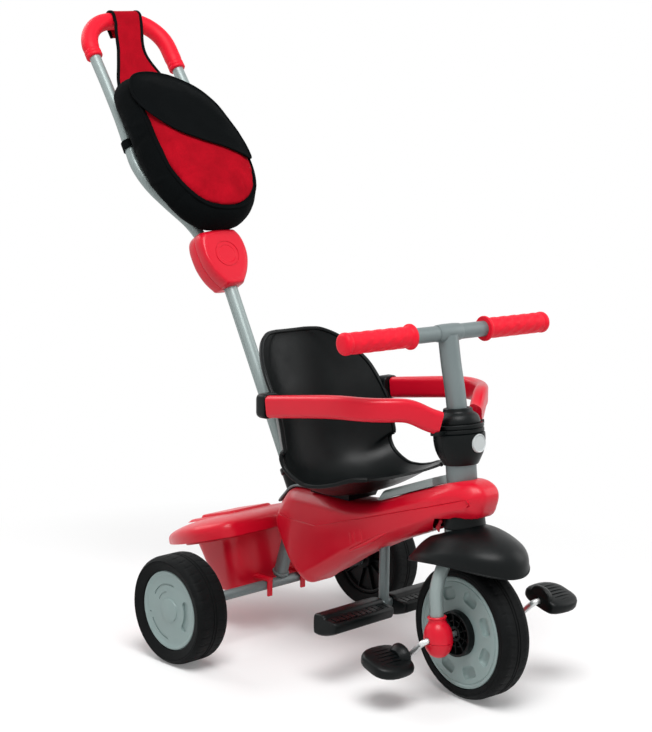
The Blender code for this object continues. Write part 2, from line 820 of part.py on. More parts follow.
def collar_half(name, front):
    """Half of the moulded collar: foot, shoulder, neck for the arm knuckles, and dome."""
    neck_top = COLLAR_SHOULDER + 2 * KNUCKLE_HEIGHT + 3 * GAP
    tube_bore = HEAD_TUBE_RADIUS + GAP
    tube_end = HEAD_TUBE_TOP + BUSH_FLANGE + GAP
    stem_bore = STEM_RADIUS + RUNNING_GAP
    profile = [
        (stem_bore + 0.001, COLLAR_TOP),
        (COLLAR_LIP_RADIUS, COLLAR_TOP),
        (COLLAR_LIP_RADIUS + 0.005, COLLAR_TOP - 0.006),
        (COLLAR_NECK_RADIUS + 0.0035, neck_top + 0.004),
        (COLLAR_NECK_RADIUS + 0.0035, neck_top),
        (COLLAR_NECK_RADIUS, neck_top),
        (COLLAR_NECK_RADIUS, COLLAR_SHOULDER),
        (COLLAR_RADIUS, COLLAR_SHOULDER),
        (COLLAR_RADIUS, COLLAR_SHOULDER - 0.010),
        (COLLAR_RADIUS - 0.0045, COLLAR_BOTTOM + 0.018),
        (COLLAR_FOOT_RADIUS, COLLAR_BOTTOM),
        (tube_bore, COLLAR_BOTTOM),
        (tube_bore, tube_end),
        (stem_bore, tube_end),
    ]
    made = turned(name, profile, "black_plastic", HEAD, ring=True, sides=24)
    far = 0.06
    if front:
        keep = box_mesh((-far, -far, 0.20), (far, -GAP / 2, 0.36))
    else:
        keep = box_mesh((-far, GAP / 2, 0.20), (far, far, 0.36))
    cut(made, guide(name + "_half", keep, HEAD), "INTERSECT")
    if front:
        seat = cylinder_mesh(BADGE_RADIUS + GAP, (0, -0.050, BADGE_HEIGHT),
                             (0, -COLLAR_RADIUS + BADGE_THICKNESS, BADGE_HEIGHT), 24)
        cut(made, guide("badge_clear", seat, HEAD))


def badge_disc():
    back = -COLLAR_RADIUS + BADGE_THICKNESS - GAP
    profile = [
        (0.0, BADGE_THICKNESS + 0.0005),
        (BADGE_RADIUS * 0.8, BADGE_THICKNESS + 0.0005),
        (BADGE_RADIUS * 0.88, BADGE_THICKNESS + 0.001),
        (BADGE_RADIUS, BADGE_THICKNESS + 0.0002),
        (BADGE_RADIUS, 0.0),
        (0.0, 0.0),
    ]
    turned("badge_disc", profile, "silver", HEAD, (0.0, back, BADGE_HEIGHT),
           (math.pi / 2, 0.0, 0.0), sides=24)


# Axle housings, fender and toggle

def housing(side_name):
    """Two egg shells round the end of a fork leg; the crank rod runs through both."""
    side = side_sign(side_name)
    centre = side * FORK_SPREAD
    leg_bore = FORK_TUBE_RADIUS + GAP
    floor = HOUSING_HALF_HEIGHT - 0.0205
    wide = HOUSING_HALF_WIDTH
    tall = HOUSING_HALF_HEIGHT
    seam = HOUSING_PART_LINE
    upper = [
        (0.0, floor),
        (leg_bore, floor),
        (leg_bore, tall + 0.004),
        (leg_bore + 0.0025, tall + 0.004),
        (leg_bore + 0.0025, tall + 0.0005),
        (leg_bore + 0.0035, tall - 0.0015),
        (wide * 0.84, tall * 0.72),
        (wide * 0.96, tall * 0.40),
        (wide, seam + GAP),
        (0.0, seam + GAP),
    ]
    lower = [
        (0.0, seam - GAP),
        (wide, seam - GAP),
        (wide * 0.97, -tall * 0.40),
        (wide * 0.80, -tall * 0.72),
        (wide * 0.45, -tall * 0.95),
        (0.0, -tall),
    ]
    bore = cylinder_mesh(CRANK_ROD_RADIUS + RUNNING_GAP, (centre - 0.04, 0, 0),
                         (centre + 0.04, 0, 0), 12)
    hole = guide("axle_bore_" + side_name, bore, STEERING)
    top = turned("housing_upper_" + side_name, upper, "red_plastic", STEERING,
                 (centre, 0.0, 0.0), sides=20)
    cut(top, hole)
    bottom = turned("housing_lower_" + side_name, lower, "red_plastic", STEERING,
                    (centre, 0.0, 0.0), sides=20)
    cut(bottom, hole)


# Stations of the hood from the sleeve to the rim: share of the way out, then how high it
# stands above the rim towards the front and towards the rear
FENDER_STATIONS = (
    (0.00, 0.98, 0.70),
    (0.12, 0.96, 0.69),
    (0.35, 0.86, 0.64),
    (0.62, 0.72, 0.44),
    (0.83, 0.57, 0.20),
    (0.96, 0.40, 0.08),
    (1.00, 0.22, 0.03),
    (1.00, 0.00, 0.00),
)


def fender_point(angle, share, front_height, rear_height):
    """A point of the hood: share 0 is the sleeve's ring, share 1 the leaf-shaped rim."""
    forward = math.cos(angle)
    across = math.sin(angle)
    reach = FENDER_FRONT if forward > 0 else FENDER_REAR
    taper = 1.0 if forward > 0 else 1.0 - 0.30 * forward * forward
    rim_x = FENDER_HALF_WIDTH * across * taper
    rim_y = -reach * forward
    hole = SLEEVE_RADIUS + RUNNING_GAP
    x = hole * across * (1 - share) + rim_x * share
    y = -hole * forward * (1 - share) + rim_y * share
    droop = 0.021 * forward ** 2 if forward > 0 else 0.018 * forward ** 2
    rim_z = 0.110 - droop
    frontness = (1 + forward) / 2
    height = front_height * frontness + rear_height * (1 - frontness)
    return (x, y, rim_z + (FENDER_TOP - rim_z) * height)


def fender():
    """A hood over the wheel: domed in front, falling to a point behind, with a short skirt."""
    count = 24
    rings = []
    for share, front_height, rear_height in FENDER_STATIONS:
        rings.append([fender_point(2 * math.pi * i / count, share, front_height, rear_height)
                      for i in range(count)])
    made = part("fender", loft_mesh(rings, close_start=False, close_end=False),
                "black_plastic", STEERING)
    shelled(made, FENDER_WALL)
    smooth(made, 50)


def steering_toggle():
    """A small lever on a tangent pin at the back of the sleeve, on the right."""
    around = math.radians(230)
    out = SLEEVE_RADIUS + GAP
    place = (out * math.sin(around), -out * math.cos(around), TOGGLE_HEIGHT)
    pivot = empty("toggle_pivot", STEERING, place, (0.0, 0.0, around - math.pi / 2))
    outline = [(0.0011, 0.003), (0.005, 0.003), (0.007, -0.002), (0.011, -0.009),
               (0.009, -0.014), (0.006, -0.017), (0.0045, -0.012), (0.003, -0.004),
               (0.0011, -0.003), (0.0, 0.0)]
    curve = outline_curve("steering_toggle", [outline], 0.0025)
    part("steering_toggle", curve, "red_plastic", pivot, turn=(math.pi / 2, 0.0, 0.0))


# Body

BODY_OUTLINE = (
    (-0.392, 0.261), (-0.427, 0.272), (-0.437, 0.288), (-0.4405, 0.305), (-0.432, 0.318),
    (-0.412, 0.324), (-0.385, 0.321), (-0.361, 0.312), (-0.300, 0.290), (-0.242, 0.268),
    (-0.190, 0.257), (-0.140, 0.257), (-0.095, 0.257), (-0.050, 0.254), (-0.026, 0.2345),
    (-0.015, 0.2215), (-0.006, 0.205), (-0.004, 0.186), (-0.034, 0.152), (-0.060, 0.125),
    (-0.090, 0.106),
    (-0.112, 0.118), (-0.150, 0.141), (-0.191, 0.167), (-0.228, 0.186), (-0.265, 0.205),
    (-0.330, 0.233),
)


def inset(outline, distance):
    """The outline moved inwards, or outwards for a negative distance."""
    moved = []
    count = len(outline)
    for i in range(count):
        before = Vector(outline[i - 1])
        here = Vector(outline[i])
        after = Vector(outline[(i + 1) % count])
        first = (here - before).normalized()
        second = (after - here).normalized()
        inward = Vector((first.y + second.y, -first.x - second.x)).normalized()
        stretch = max(inward.dot(Vector((first.y, -first.x))), 0.5)
        moved.append(here + inward * distance / stretch)
    return moved


def body_shell(side_name):
    """A moulded half: a wall that rounds over into a flat side face."""
    side = side_sign(side_name)
    rings = []
    for depth, inwards in ((GAP / 2, 0.0), (0.022, 0.0), (0.034, 0.005), (0.042, 0.011),
                           (BODY_HALF, 0.019)):
        rings.append([side_point(p, side * depth) for p in inset(BODY_OUTLINE, inwards)])
    made = part("body_shell_" + side_name, loft_mesh(rings, close_start=False),
                "red_plastic", CHASSIS)
    shelled(made, BODY_WALL)
    smooth(made, 40)
    foot = side_point(STRUT_FOOT)
    top = side_point(STRUT_TOP)
    cutters = (
        ("toggle_room", cylinder_mesh(SLEEVE_RADIUS + 0.0155, (0, 0, 0.12), (0, 0, 0.1695), 24),
         HEAD),
        ("sleeve_room", cylinder_mesh(SLEEVE_RADIUS + 0.002, (0, 0, 0.12), (0, 0, 0.1765), 24),
         HEAD),
        ("head_room", cylinder_mesh(HEAD_TUBE_RADIUS + GAP, (0, 0, 0.17), (0, 0, 0.27), 28),
         HEAD),
        ("strut_room", cylinder_mesh(STRUT_RADIUS + GAP, foot, top, 20), CHASSIS),
        ("socket_room", cylinder_mesh(SOCKET_RADIUS + GAP, (0, 0, -SOCKET_BELOW - 0.001),
                                      (0, 0, 0.07), 24), HANDLE),
        ("post_room", cylinder_mesh(POST_RADIUS + GAP, (0, POST_Y, 0.15),
                                    (0, POST_Y, 0.235), 16), CHASSIS),
    )
    for name, mesh, parent in cutters:
        cut(made, guide(name + "_" + side_name, mesh, parent))


def strip_outline(start, end, near, far):
    """The band between two offsets of the body outline, from one point to another."""
    inner = inset(BODY_OUTLINE, -near)[start:end + 1]
    outer = inset(BODY_OUTLINE, -far)[start:end + 1]
    return [tuple(p) for p in inner] + [tuple(p) for p in reversed(outer)]


def rear_edge_trim():
    """A strip outside the shells' joint, wider where it goes round the handle socket."""
    upright = (math.pi / 2, 0.0, math.pi / 2)
    strip = strip_outline(13, 17, GAP, TRIM_THICKNESS)
    made = part("rear_edge_trim", as_mesh(outline_curve("strip", [strip], TRIM_WIDTH / 2)),
                "grey_paint", CHASSIS, turn=upright)
    eye = strip_outline(12, 15, GAP, TRIM_THICKNESS * 0.8)
    wide = as_mesh(outline_curve("eye", [eye], SOCKET_RADIUS + 0.006))
    cut(made, guide("trim_eye", wide, CHASSIS, turn=upright), "UNION")
    socket = cylinder_mesh(SOCKET_RADIUS + GAP, (0, 0, -0.03), (0, 0, 0.06), 24)
    cut(made, guide("trim_socket_room", socket, HANDLE))


def top_cover():
    """A flat-topped cover on the body between the head tube and the seat."""
    front = (-0.352, 0.3095)
    rear = (-0.240, 0.268)
    along = Vector((0.0, rear[0] - front[0], rear[1] - front[1])).normalized()
    up = Vector((0.0, -along.z, along.y))
    rings = []
    for distance, drop in ((0.0, 0.0), (0.105, 0.0), (0.119, COVER_THICKNESS * 0.7)):
        base = Vector(side_point(front)) + along * distance + up * GAP / 2
        half = COVER_HALF_WIDTH - (0.003 if drop else 0.0)
        thick = COVER_THICKNESS - drop
        section = ((-half, 0.0), (-half, thick * 0.6), (-half + 0.005, thick),
                   (half - 0.005, thick), (half, thick * 0.6), (half, 0.0))
        rings.append([base + Vector((x, 0.0, 0.0)) + up * z for x, z in section])
    made = part("top_cover", loft_mesh(rings), "grey_paint", CHASSIS)
    tube = cylinder_mesh(HEAD_TUBE_RADIUS + GAP, (0, 0, 0.15), (0, 0, 0.30), 28)
    cut(made, guide("cover_head_room", tube, HEAD))


# Seat and safety arms

# Centre line from the front lip to the top of the back: y, z, half width, rise at the sides
SEAT_STATIONS = (
    (-0.272, 0.311, 0.082, 0.004),
    (-0.256, 0.304, 0.098, 0.010),
    (-0.231, 0.289, 0.108, 0.016),
    (-0.200, 0.276, 0.115, 0.022),
    (-0.165, 0.269, 0.118, 0.030),
    (-0.120, 0.271, 0.120, 0.050),
    (-0.085, 0.288, 0.120, 0.070),
    (-0.062, 0.325, 0.120, 0.078),
    (-0.046, 0.376, 0.119, 0.078),
    (-0.032, 0.430, 0.114, 0.058),
    (-0.022, 0.475, 0.098, 0.036),
    (-0.015, 0.502, 0.066, 0.016),
)


def seat_skin():
    """The bucket's upper surface as an open grid."""
    across = 8
    rings = []
    last = len(SEAT_STATIONS) - 1
    for i, (y, z, half, rise) in enumerate(SEAT_STATIONS):
        before = SEAT_STATIONS[max(i - 1, 0)]
        after = SEAT_STATIONS[min(i + 1, last)]
        run = Vector((after[0] - before[0], after[1] - before[1])).normalized()
        normal = Vector((0.0, -run.y, run.x))
        ring = []
        for k in range(across + 1):
            v = 2 * k / across - 1
            lift = rise * abs(v) ** 2.4
            ring.append(Vector((half * v, y, z)) + normal * lift)
        rings.append(ring)
    mesh = loft_mesh(rings, close_start=False, close_end=False, cyclic=False)
    shape = bmesh.new()
    shape.from_mesh(mesh)
    middle = min(shape.faces, key=lambda face: face.calc_center_median().y)
    if middle.normal.z < 0:
        bmesh.ops.reverse_faces(shape, faces=shape.faces)
    bmesh.ops.triangulate(shape, faces=shape.faces)
    shape.to_mesh(mesh)
    shape.free()
    return mesh


def seat_room(name):
    """The seat's wall and a clearance under it, with the rider's side above."""
    room = guide(name, seat_skin(), CHASSIS)
    skin = room.modifiers.new("room", "SOLIDIFY")
    skin.thickness = 0.030
    skin.offset = 1.0 - 2.0 * (SEAT_WALL + GAP) / skin.thickness
    skin.use_even_offset = True
    return room


def arm_cup(side_name):
    """The block on the seat's side that the rear end of a safety arm closes against."""
    side = side_sign(side_name)
    rear = ARM_REAR_Y + ARM_SLOPE * ARM_HEIGHT / 2 + GAP
    inner = side * (ARM_X - ARM_WIDTH)
    outer = side * (ARM_X + ARM_WIDTH / 2 + 0.001)
    block = box_mesh((min(inner, outer), rear, ARM_REAR_Z - 0.019),
                     (max(inner, outer), rear + 0.020, ARM_REAR_Z + 0.019))
    return guide("arm_cup_" + side_name, block, CHASSIS)


def seat_shell():
    """The bucket with an arm cup on each side."""
    made = part("seat_shell", seat_skin(), "black_plastic", CHASSIS)
    shelled(made, SEAT_WALL)
    smooth(made, 50)
    for side_name in SIDE_NAMES:
        cut(made, arm_cup(side_name), "UNION")


def seat_bracket():
    """A tapered block on the body that the pan is screwed to."""
    rings = []
    for z, half_x, front, rear in ((0.2573, 0.030, -0.182, -0.098),
                                   (0.282, 0.038, -0.190, -0.094)):
        rings.append([(-half_x, front, z), (half_x, front, z), (half_x, rear, z),
                      (-half_x, rear, z)])
    made = part("seat_bracket", loft_mesh(rings), "black_plastic", CHASSIS)
    cut(made, seat_room("bracket_seat_room"))


def arm_run(side):
    """Straight along the seat, round the front corner and down to the collar's neck."""
    run = []
    for share in (0.0, 0.5, 1.0):
        y = ARM_REAR_Y + (ARM_CORNER_Y - ARM_REAR_Y) * share
        run.append((ARM_X, y, ARM_REAR_Z - (y - ARM_REAR_Y) * ARM_SLOPE))
    centre_x = ARM_X - ARM_CORNER_RADIUS
    top = run[-1][2]
    steps = 6
    for i in range(1, steps + 1):
        angle = ARM_CORNER_ANGLE * i / steps
        run.append((centre_x + ARM_CORNER_RADIUS * math.cos(angle),
                    ARM_CORNER_Y - ARM_CORNER_RADIUS * math.sin(angle), top))
    x, y, z = run[-1]
    heading = Vector((-math.sin(ARM_CORNER_ANGLE), -math.cos(ARM_CORNER_ANGLE), 0.0))
    reach = 0.064
    low = ARM_END_Z
    for share, fall in ((0.35, 0.16), (0.65, 0.62), (1.0, 1.0)):
        spot = Vector((x, y, z)) + heading * reach * share
        run.append((spot.x, spot.y, top + (low - top) * fall))
    return [(side * px, py, pz) for px, py, pz in run]


ARM_END_Z = 0.4075


def arm_section():
    """A rounded upright rectangle as a bevel profile."""
    half_x = ARM_WIDTH / 2
    half_y = ARM_HEIGHT / 2
    corner = 0.0075
    outline = []
    for cx, cy, start in ((half_x - corner, half_y - corner, 0),
                          (-half_x + corner, half_y - corner, 90),
                          (-half_x + corner, -half_y + corner, 180),
                          (half_x - corner, -half_y + corner, 270)):
        outline += arc((cx, cy), corner, start, start + 90, 2)
    return outline


def sectioned_rail(name, run, outline):
    """A closed rail with an upright section, as a curve with a bevel object."""
    section = outline_curve(name + "_section", [outline], 0.0)
    section.fill_mode = "NONE"
    profile = guide(name + "_section", section, None)
    curve = bpy.data.curves.new(name, "CURVE")
    curve.dimensions = "3D"
    curve.twist_mode = "Z_UP"
    curve.bevel_mode = "OBJECT"
    curve.bevel_object = profile
    curve.use_fill_caps = True
    spline = curve.splines.new("POLY")
    spline.points.add(len(run) - 1)
    for place, point in zip(spline.points, run):
        place.co = (*point, 1.0)
    return curve


def safety_arm(side_name):
    """An arm that turns on the collar's neck by its own knuckle ring."""
    side = side_sign(side_name)
    hinge = empty("safety_arm_axis_" + side_name, HEAD)
    rail = as_mesh(sectioned_rail("safety_arm", arm_run(side), arm_section()))
    into_head = Matrix.Translation((0.0, -WHEELBASE, FRONT_RADIUS)) @ Matrix.Rotation(-RAKE, 4, "X")
    rail.transform(into_head.inverted())
    made = smooth(part("safety_arm_" + side_name, rail, "red_plastic", hinge), 40)
    low = COLLAR_SHOULDER + GAP
    if side > 0:
        low += KNUCKLE_HEIGHT + GAP
    high = low + KNUCKLE_HEIGHT
    clear = cylinder_mesh(KNUCKLE_RADIUS + RUNNING_GAP, (0, 0, 0.26), (0, 0, 0.36), 24)
    cut(made, guide("knuckle_clear_" + side_name, clear, hinge))
    ring = cylinder_mesh(KNUCKLE_RADIUS, (0, 0, low), (0, 0, high), 24)
    cut(made, guide("knuckle_" + side_name, ring, hinge), "UNION")
    near = side * (KNUCKLE_RADIUS - 0.008)
    far = side * (KNUCKLE_RADIUS + 0.014)
    lug = box_mesh((min(near, far), -0.006, low + GAP), (max(near, far), 0.010, high - GAP))
    cut(made, guide("knuckle_lug_" + side_name, lug, hinge), "UNION")
    bore = cylinder_mesh(COLLAR_NECK_RADIUS + GAP, (0, 0, 0.26), (0, 0, 0.36), 24)
    cut(made, guide("knuckle_bore_" + side_name, bore, hinge))


# Foot rest

def footrest_post():
    """A post from the spine, welded to the cross tube that the pads fold on."""
    post = cylinder_mesh(POST_RADIUS, (0, POST_Y, CROSS_Z), (0, POST_Y, 0.236), 16)
    made = smooth(part("footrest_post", post, "grey_paint", CHASSIS))
    cross = cylinder_mesh(POST_RADIUS, (-CROSS_HALF, POST_Y, CROSS_Z),
                          (CROSS_HALF, POST_Y, CROSS_Z), 16)
    cut(made, guide("cross_tube", cross, CHASSIS), "UNION")
    spine = cylinder_mesh(SPINE_RADIUS * 0.7 + GAP, (0, -0.330, 0.281), (0, -0.180, 0.226), 16)
    cut(made, guide("spine_room", spine, CHASSIS))


def foot_pad(side_name):
    """A ribbed block that folds up round the cross tube."""
    side = side_sign(side_name)
    hinge = empty("foot_pad_axis_" + side_name, CHASSIS, (0.0, POST_Y, CROSS_Z))
    outline = [(-PAD_FRONT, 0.003), (-PAD_FRONT, -0.009), (-PAD_FRONT + 0.005, -0.014),
               (-0.008, -PAD_DROP), (0.008, -PAD_DROP), (0.012, -PAD_DROP + 0.004),
               (0.012, 0.006), (0.007, 0.0112), (-0.008, 0.0112), (-0.014, 0.006)]
    ends = ((PAD_INNER_X, 0.9), (PAD_INNER_X + 0.004, 1.0), (PAD_OUTER_X - 0.004, 1.0),
            (PAD_OUTER_X, 0.9))
    rings = [[(side * x, y * size, z * size) for y, z in outline] for x, size in ends]
    made = smooth(part("foot_pad_" + side_name, loft_mesh(rings), "black_plastic", hinge), 30)
    bore = cylinder_mesh(POST_RADIUS + GAP, (side * (PAD_INNER_X - 0.01), 0, 0),
                         (side * (PAD_OUTER_X + 0.01), 0, 0), 16)
    cut(made, guide("pad_bore_" + side_name, bore, hinge))


# Storage tub and lid

def rounded_rectangle(half_x, front, rear, corner, steps=3):
    outline = []
    for cx, cy, start in ((half_x - corner, rear - corner, 0),
                          (-half_x + corner, rear - corner, 90),
                          (-half_x + corner, front + corner, 180),
                          (half_x - corner, front + corner, 270)):
        outline += arc((cx, cy), corner, start, start + 90, steps)
    return outline


def lid_plane(y):
    return LID_RIM_Z - math.tan(LID_SLOPE) * (y - LID_FRONT_Y)


def storage_tub():
    """An open tub with leaning walls, hooked over the axle tube."""
    levels = ((0.0, 0.072, 0.027, 0.078, 0.022), (0.06, 0.078, 0.023, 0.084, 0.022),
              (0.5, 0.089, 0.0215, 0.099, 0.022), (1.0, 0.098, TUB_FRONT_Y, 0.113, 0.022),
              (1.0, TUB_RIM_HALF, TUB_FRONT_Y - 0.0012, 0.122, 0.045))
    bottom = 0.070
    rings = []
    for share, half_x, front, rear, corner in levels:
        ring = []
        for x, y in rounded_rectangle(half_x, front, rear, corner):
            top = lid_plane(y) - GAP - TUB_WALL * 1.04
            ring.append((x, y, bottom + (top - bottom) * share))
        rings.append(ring)
    skin = loft_mesh(rings, close_end=False)
    if min(skin.polygons, key=lambda face: face.center.z).normal.z > 0:
        skin.flip_normals()
    made = part("storage_tub", skin, "red_plastic", CHASSIS)
    shelled(made, TUB_WALL)
    smooth(made, 40)
    reach = AXLE_TUBE_RADIUS + GAP
    over = REAR_RADIUS + reach
    for side in (-1.0, 1.0):
        low = side * HOOK_X - HOOK_WIDTH / 2
        high = side * HOOK_X + HOOK_WIDTH / 2
        bridge = box_mesh((low, -reach - 0.004, over), (high, TUB_FRONT_Y + 0.0035, over + 0.005))
        cut(made, guide("hook_bridge", bridge, CHASSIS), "UNION")
        tongue = box_mesh((low + 0.001, -reach - 0.004, 0.0685), (high - 0.001, -reach, over + 0.002))
        cut(made, guide("hook_tongue", tongue, CHASSIS), "UNION")


def lid_half_width(distance):
    """A teardrop plan: blunt at the front, widest over the wheels, drawn to a tail."""
    widest = 0.070
    if distance < widest:
        blend = math.sin(distance / widest * math.pi / 2)
        return 0.100 + (LID_HALF_WIDTH - 0.100) * blend
    tail = (distance - widest) / (LID_LENGTH - widest)
    return LID_HALF_WIDTH * (1 - tail ** 1.9) ** 0.72


def lid_outline(scale, front):
    stations = 11
    right = []
    for i in range(stations):
        share = i / (stations - 1)
        distance = LID_LENGTH * (1 - (1 - share) ** 1.5) if share else 0.0
        right.append((lid_half_width(min(distance, LID_LENGTH * 0.998)), distance))
    middle = 0.095
    points = [(x * scale, middle + (y - middle) * scale) for x, y in right]
    points[0] = (points[0][0] - 0.010 * scale, points[0][1])
    outline = points + [(-x, y) for x, y in reversed(points)]
    return [(x, max(y, front)) for x, y in outline]


def storage_lid():
    """A thin lid: a skirt, a rounded edge, a crown and a raised panel along the middle."""
    hinge = empty("lid_axis", LID_HINGE, (0.0, 0.004, 0.020))
    rings = []
    for scale, height, front in ((1.0, 0.0, 0.0), (1.0, 0.012, 0.0), (0.975, 0.021, 0.0),
                                 (0.90, 0.027, 0.004), (0.72, LID_CROWN * 0.93, 0.010),
                                 (0.45, LID_CROWN, 0.030)):
        rings.append([(x, y - 0.004, height - 0.020) for x, y in lid_outline(scale, front)])
    made = part("storage_lid", loft_mesh(rings, close_start=False), "red_plastic", hinge)
    shelled(made, LID_WALL)
    smooth(made, 35)
    panel = rounded_rectangle(0.045, 0.060, 0.150, 0.012, 2)
    raised = outline_curve("lid_panel", [panel], 0.0035)
    place = (0.0, -0.004, LID_CROWN - 0.020 - 0.0015)
    cut(made, guide("lid_panel", as_mesh(raised), hinge, place), "UNION")


# Parent handle

def handle_tube():
    """A round lower tube with a groove down each side."""
    outline = []
    depth = 0.0018
    for start in (0, 180):
        outline += arc((0.0, 0.0), HANDLE_TUBE_HALF, start + 12, start + 168, 9)
        side = -1.0 if start == 0 else 1.0
        outline.append((side * (HANDLE_TUBE_HALF - depth), 0.0))
    bottom = -0.006 + GAP
    half = (HANDLE_TUBE_TOP - bottom) / 2
    part("handle_tube", outline_curve("handle_tube", [outline], half), "light_grey_paint",
         HANDLE_TURN, (0.0, 0.0, bottom + half))


def clamp_outline():
    top = CLAMP_TOP
    low = CLAMP_BOTTOM
    wide = CLAMP_HALF_WIDTH
    right = [(wide * 0.82, top), (wide * 0.96, top - 0.012), (wide, top - 0.030),
             (wide * 0.95, top - 0.055), (wide * 0.74, low + 0.022), (wide * 0.44, low + 0.004),
             (wide * 0.36, low)]
    return right + [(-x, z) for x, z in reversed(right)]


def clamp_half(name, front):
    """A shell of the clamp: it holds the lower tube and both ends of the loop."""
    facing = -1.0 if front else 1.0
    depth = CLAMP_FRONT_DEPTH if front else CLAMP_REAR_DEPTH
    middle = (CLAMP_TOP + CLAMP_BOTTOM) / 2
    rings = []
    for share, size in ((0.0, 1.0), (0.62, 0.985), (0.88, 0.92), (1.0, 0.80)):
        y = facing * (GAP / 2 + depth * share)
        rings.append([(x * size, y, middle + (z - middle) * size) for x, z in clamp_outline()])
    made = smooth(part(name, loft_mesh(rings), "red_plastic", HANDLE_TURN), 35)
    lower = cylinder_mesh(HANDLE_TUBE_HALF + GAP, (0, 0, CLAMP_BOTTOM - 0.02),
                          (0, 0, HANDLE_TUBE_TOP + GAP), 24)
    cut(made, guide(name + "_tube_room", lower, HANDLE_TURN))
    for side in (-1.0, 1.0):
        foot = [Vector((side * p.x, p.y, p.z)) for p in half_loop()[:RISER_FOOT_POINTS]]
        foot[0] = foot[0] - Vector((0.0, 0.0, GAP))
        riser = as_mesh(tube_curve("riser_room", foot, LOOP_TUBE_RADIUS + GAP, 12))
        cut(made, guide(name + "_riser_room", riser, LOOP))


LOOP_BOTTOM = -0.024
RISER_FOOT_POINTS = 5


def half_loop():
    """The left riser and half of the arch, in the loop's plane."""
    riser = [(LOOP_ENTRY_X, 0, LOOP_BOTTOM), (LOOP_ENTRY_X, 0, 0.010), (0.0245, 0, 0.031),
             (0.035, 0, 0.058), (0.056, 0, 0.092), (0.077, 0, 0.131), (LOOP_BULGE, 0, 0.172),
             (0.0845, 0, TAPE_HEIGHT), (0.080, 0, 0.270), (LOOP_HALF_WIDTH, 0, 0.340),
             (LOOP_HALF_WIDTH, 0, 0.390)]
    return [Vector(p) for p in riser[:-1]] + arch_run()


def arch_run():
    start = LOOP_TOP - ARCH_RADIUS
    centre = (LOOP_HALF_WIDTH - ARCH_RADIUS, start)
    down = [(LOOP_HALF_WIDTH, 0.0, LOOP_TOP - ARCH_GRIP_DROP)]
    return [Vector(p) for p in down] + [Vector((x, 0.0, z))
                                        for x, z in arc(centre, ARCH_RADIUS, 0, 90, 6)]


def mirrored_run(half):
    other = [Vector((-p.x, p.y, p.z)) for p in reversed(half)]
    return list(half) + other


def loop_tube():
    run = mirrored_run(half_loop())
    part("loop_tube", tube_curve("loop_tube", run, LOOP_TUBE_RADIUS, 12), "light_grey_paint",
         LOOP)


def arch_grip():
    """The rubber sleeve over the arch."""
    run = mirrored_run(arch_run())
    sleeve = as_mesh(tube_curve("arch_grip", run, ARCH_GRIP_RADIUS, 12))
    made = smooth(part("arch_grip", sleeve, "red_rubber", LOOP), 40)
    longer = [run[0] - Vector((0.0, 0.0, 0.02))] + run + [run[-1] - Vector((0.0, 0.0, 0.02))]
    bore = as_mesh(tube_curve("grip_bore", longer, LOOP_TUBE_RADIUS + GAP, 12))
    cut(made, guide("grip_bore", bore, LOOP))


# Bag on the loop

def bag_outline():
    wide = BAG_HALF_WIDTH
    right = [(0.020, BAG_BOTTOM), (wide * 0.50, 0.036), (wide * 0.78, 0.064),
             (wide * 0.93, 0.105), (wide, 0.155), (wide, 0.205), (wide * 0.97, 0.255),
             (wide * 0.92, 0.290), (wide * 0.75, 0.310), (wide * 0.40, BAG_TOP)]
    return right + [(-x, z) for x, z in reversed(right)]


def bag_body():
    """The stuffed pouch in front of the loop."""
    middle = (BAG_TOP + BAG_BOTTOM) / 2
    rings = []
    for share, size in ((0.0, 0.94), (0.2, 1.0), (0.75, 1.0), (1.0, 0.90)):
        y = -(BAG_BACK + BAG_DEPTH * share)
        rings.append([(x * size, y, middle + (z - middle) * size) for x, z in bag_outline()])
    smooth(part("bag_body", loft_mesh(rings), "black_fabric", LOOP), 40)


def bag_flap():
    """The flap over the pouch's mouth; its lower edge runs down to a corner on the left."""
    outline = [(0.083, 0.250), (0.074, 0.284), (0.040, 0.303), (-0.010, 0.306),
               (-0.060, 0.296), (-0.078, 0.272), (-0.050, 0.212), (0.000, 0.180),
               (0.045, 0.154), (0.070, 0.128), (0.083, 0.165)]
    thick = FLAP_THICKNESS / 2
    y = -(BAG_BACK + BAG_DEPTH + GAP + thick)
    part("bag_flap", outline_curve("bag_flap", [outline], thick), "black_fabric", LOOP,
         (0.0, y, 0.0), (math.pi / 2, 0.0, 0.0))


def bag_strap():
    """The strap from the bag's top over the arch grip and back down to its seam."""
    near = ARCH_GRIP_RADIUS + GAP
    far = near + STRAP_THICKNESS
    start = BAG_TOP + 0.001
    end = LOOP_TOP - 0.018
    outline = [(-far, start)] + arc((0.0, LOOP_TOP), far, 180, 0, 10) + [(far, end), (near, end)]
    outline += arc((0.0, LOOP_TOP), near, 0, 180, 10) + [(-near, start)]
    curve = outline_curve("bag_strap", [outline], STRAP_HALF_WIDTH)
    part("bag_strap", curve, "red_fabric", LOOP, turn=(math.pi / 2, 0.0, math.pi / 2))


def bag_tape(side_name):
    """A tape round one riser that holds the bag's side."""
    side = side_sign(side_name)
    half = TAPE_WIDTH / 2
    inner = LOOP_TUBE_RADIUS + 2 * GAP
    outer = inner + TAPE_THICKNESS
    profile = [(inner, half), (outer, half), (outer, -half), (inner, -half)]
    turned("bag_tape_" + side_name, profile, "black_fabric", LOOP,
           (side * 0.0845, 0.0, TAPE_HEIGHT), (0.0, -side * math.radians(4.0), 0.0), ring=True,
           sides=16)


# The whole trike

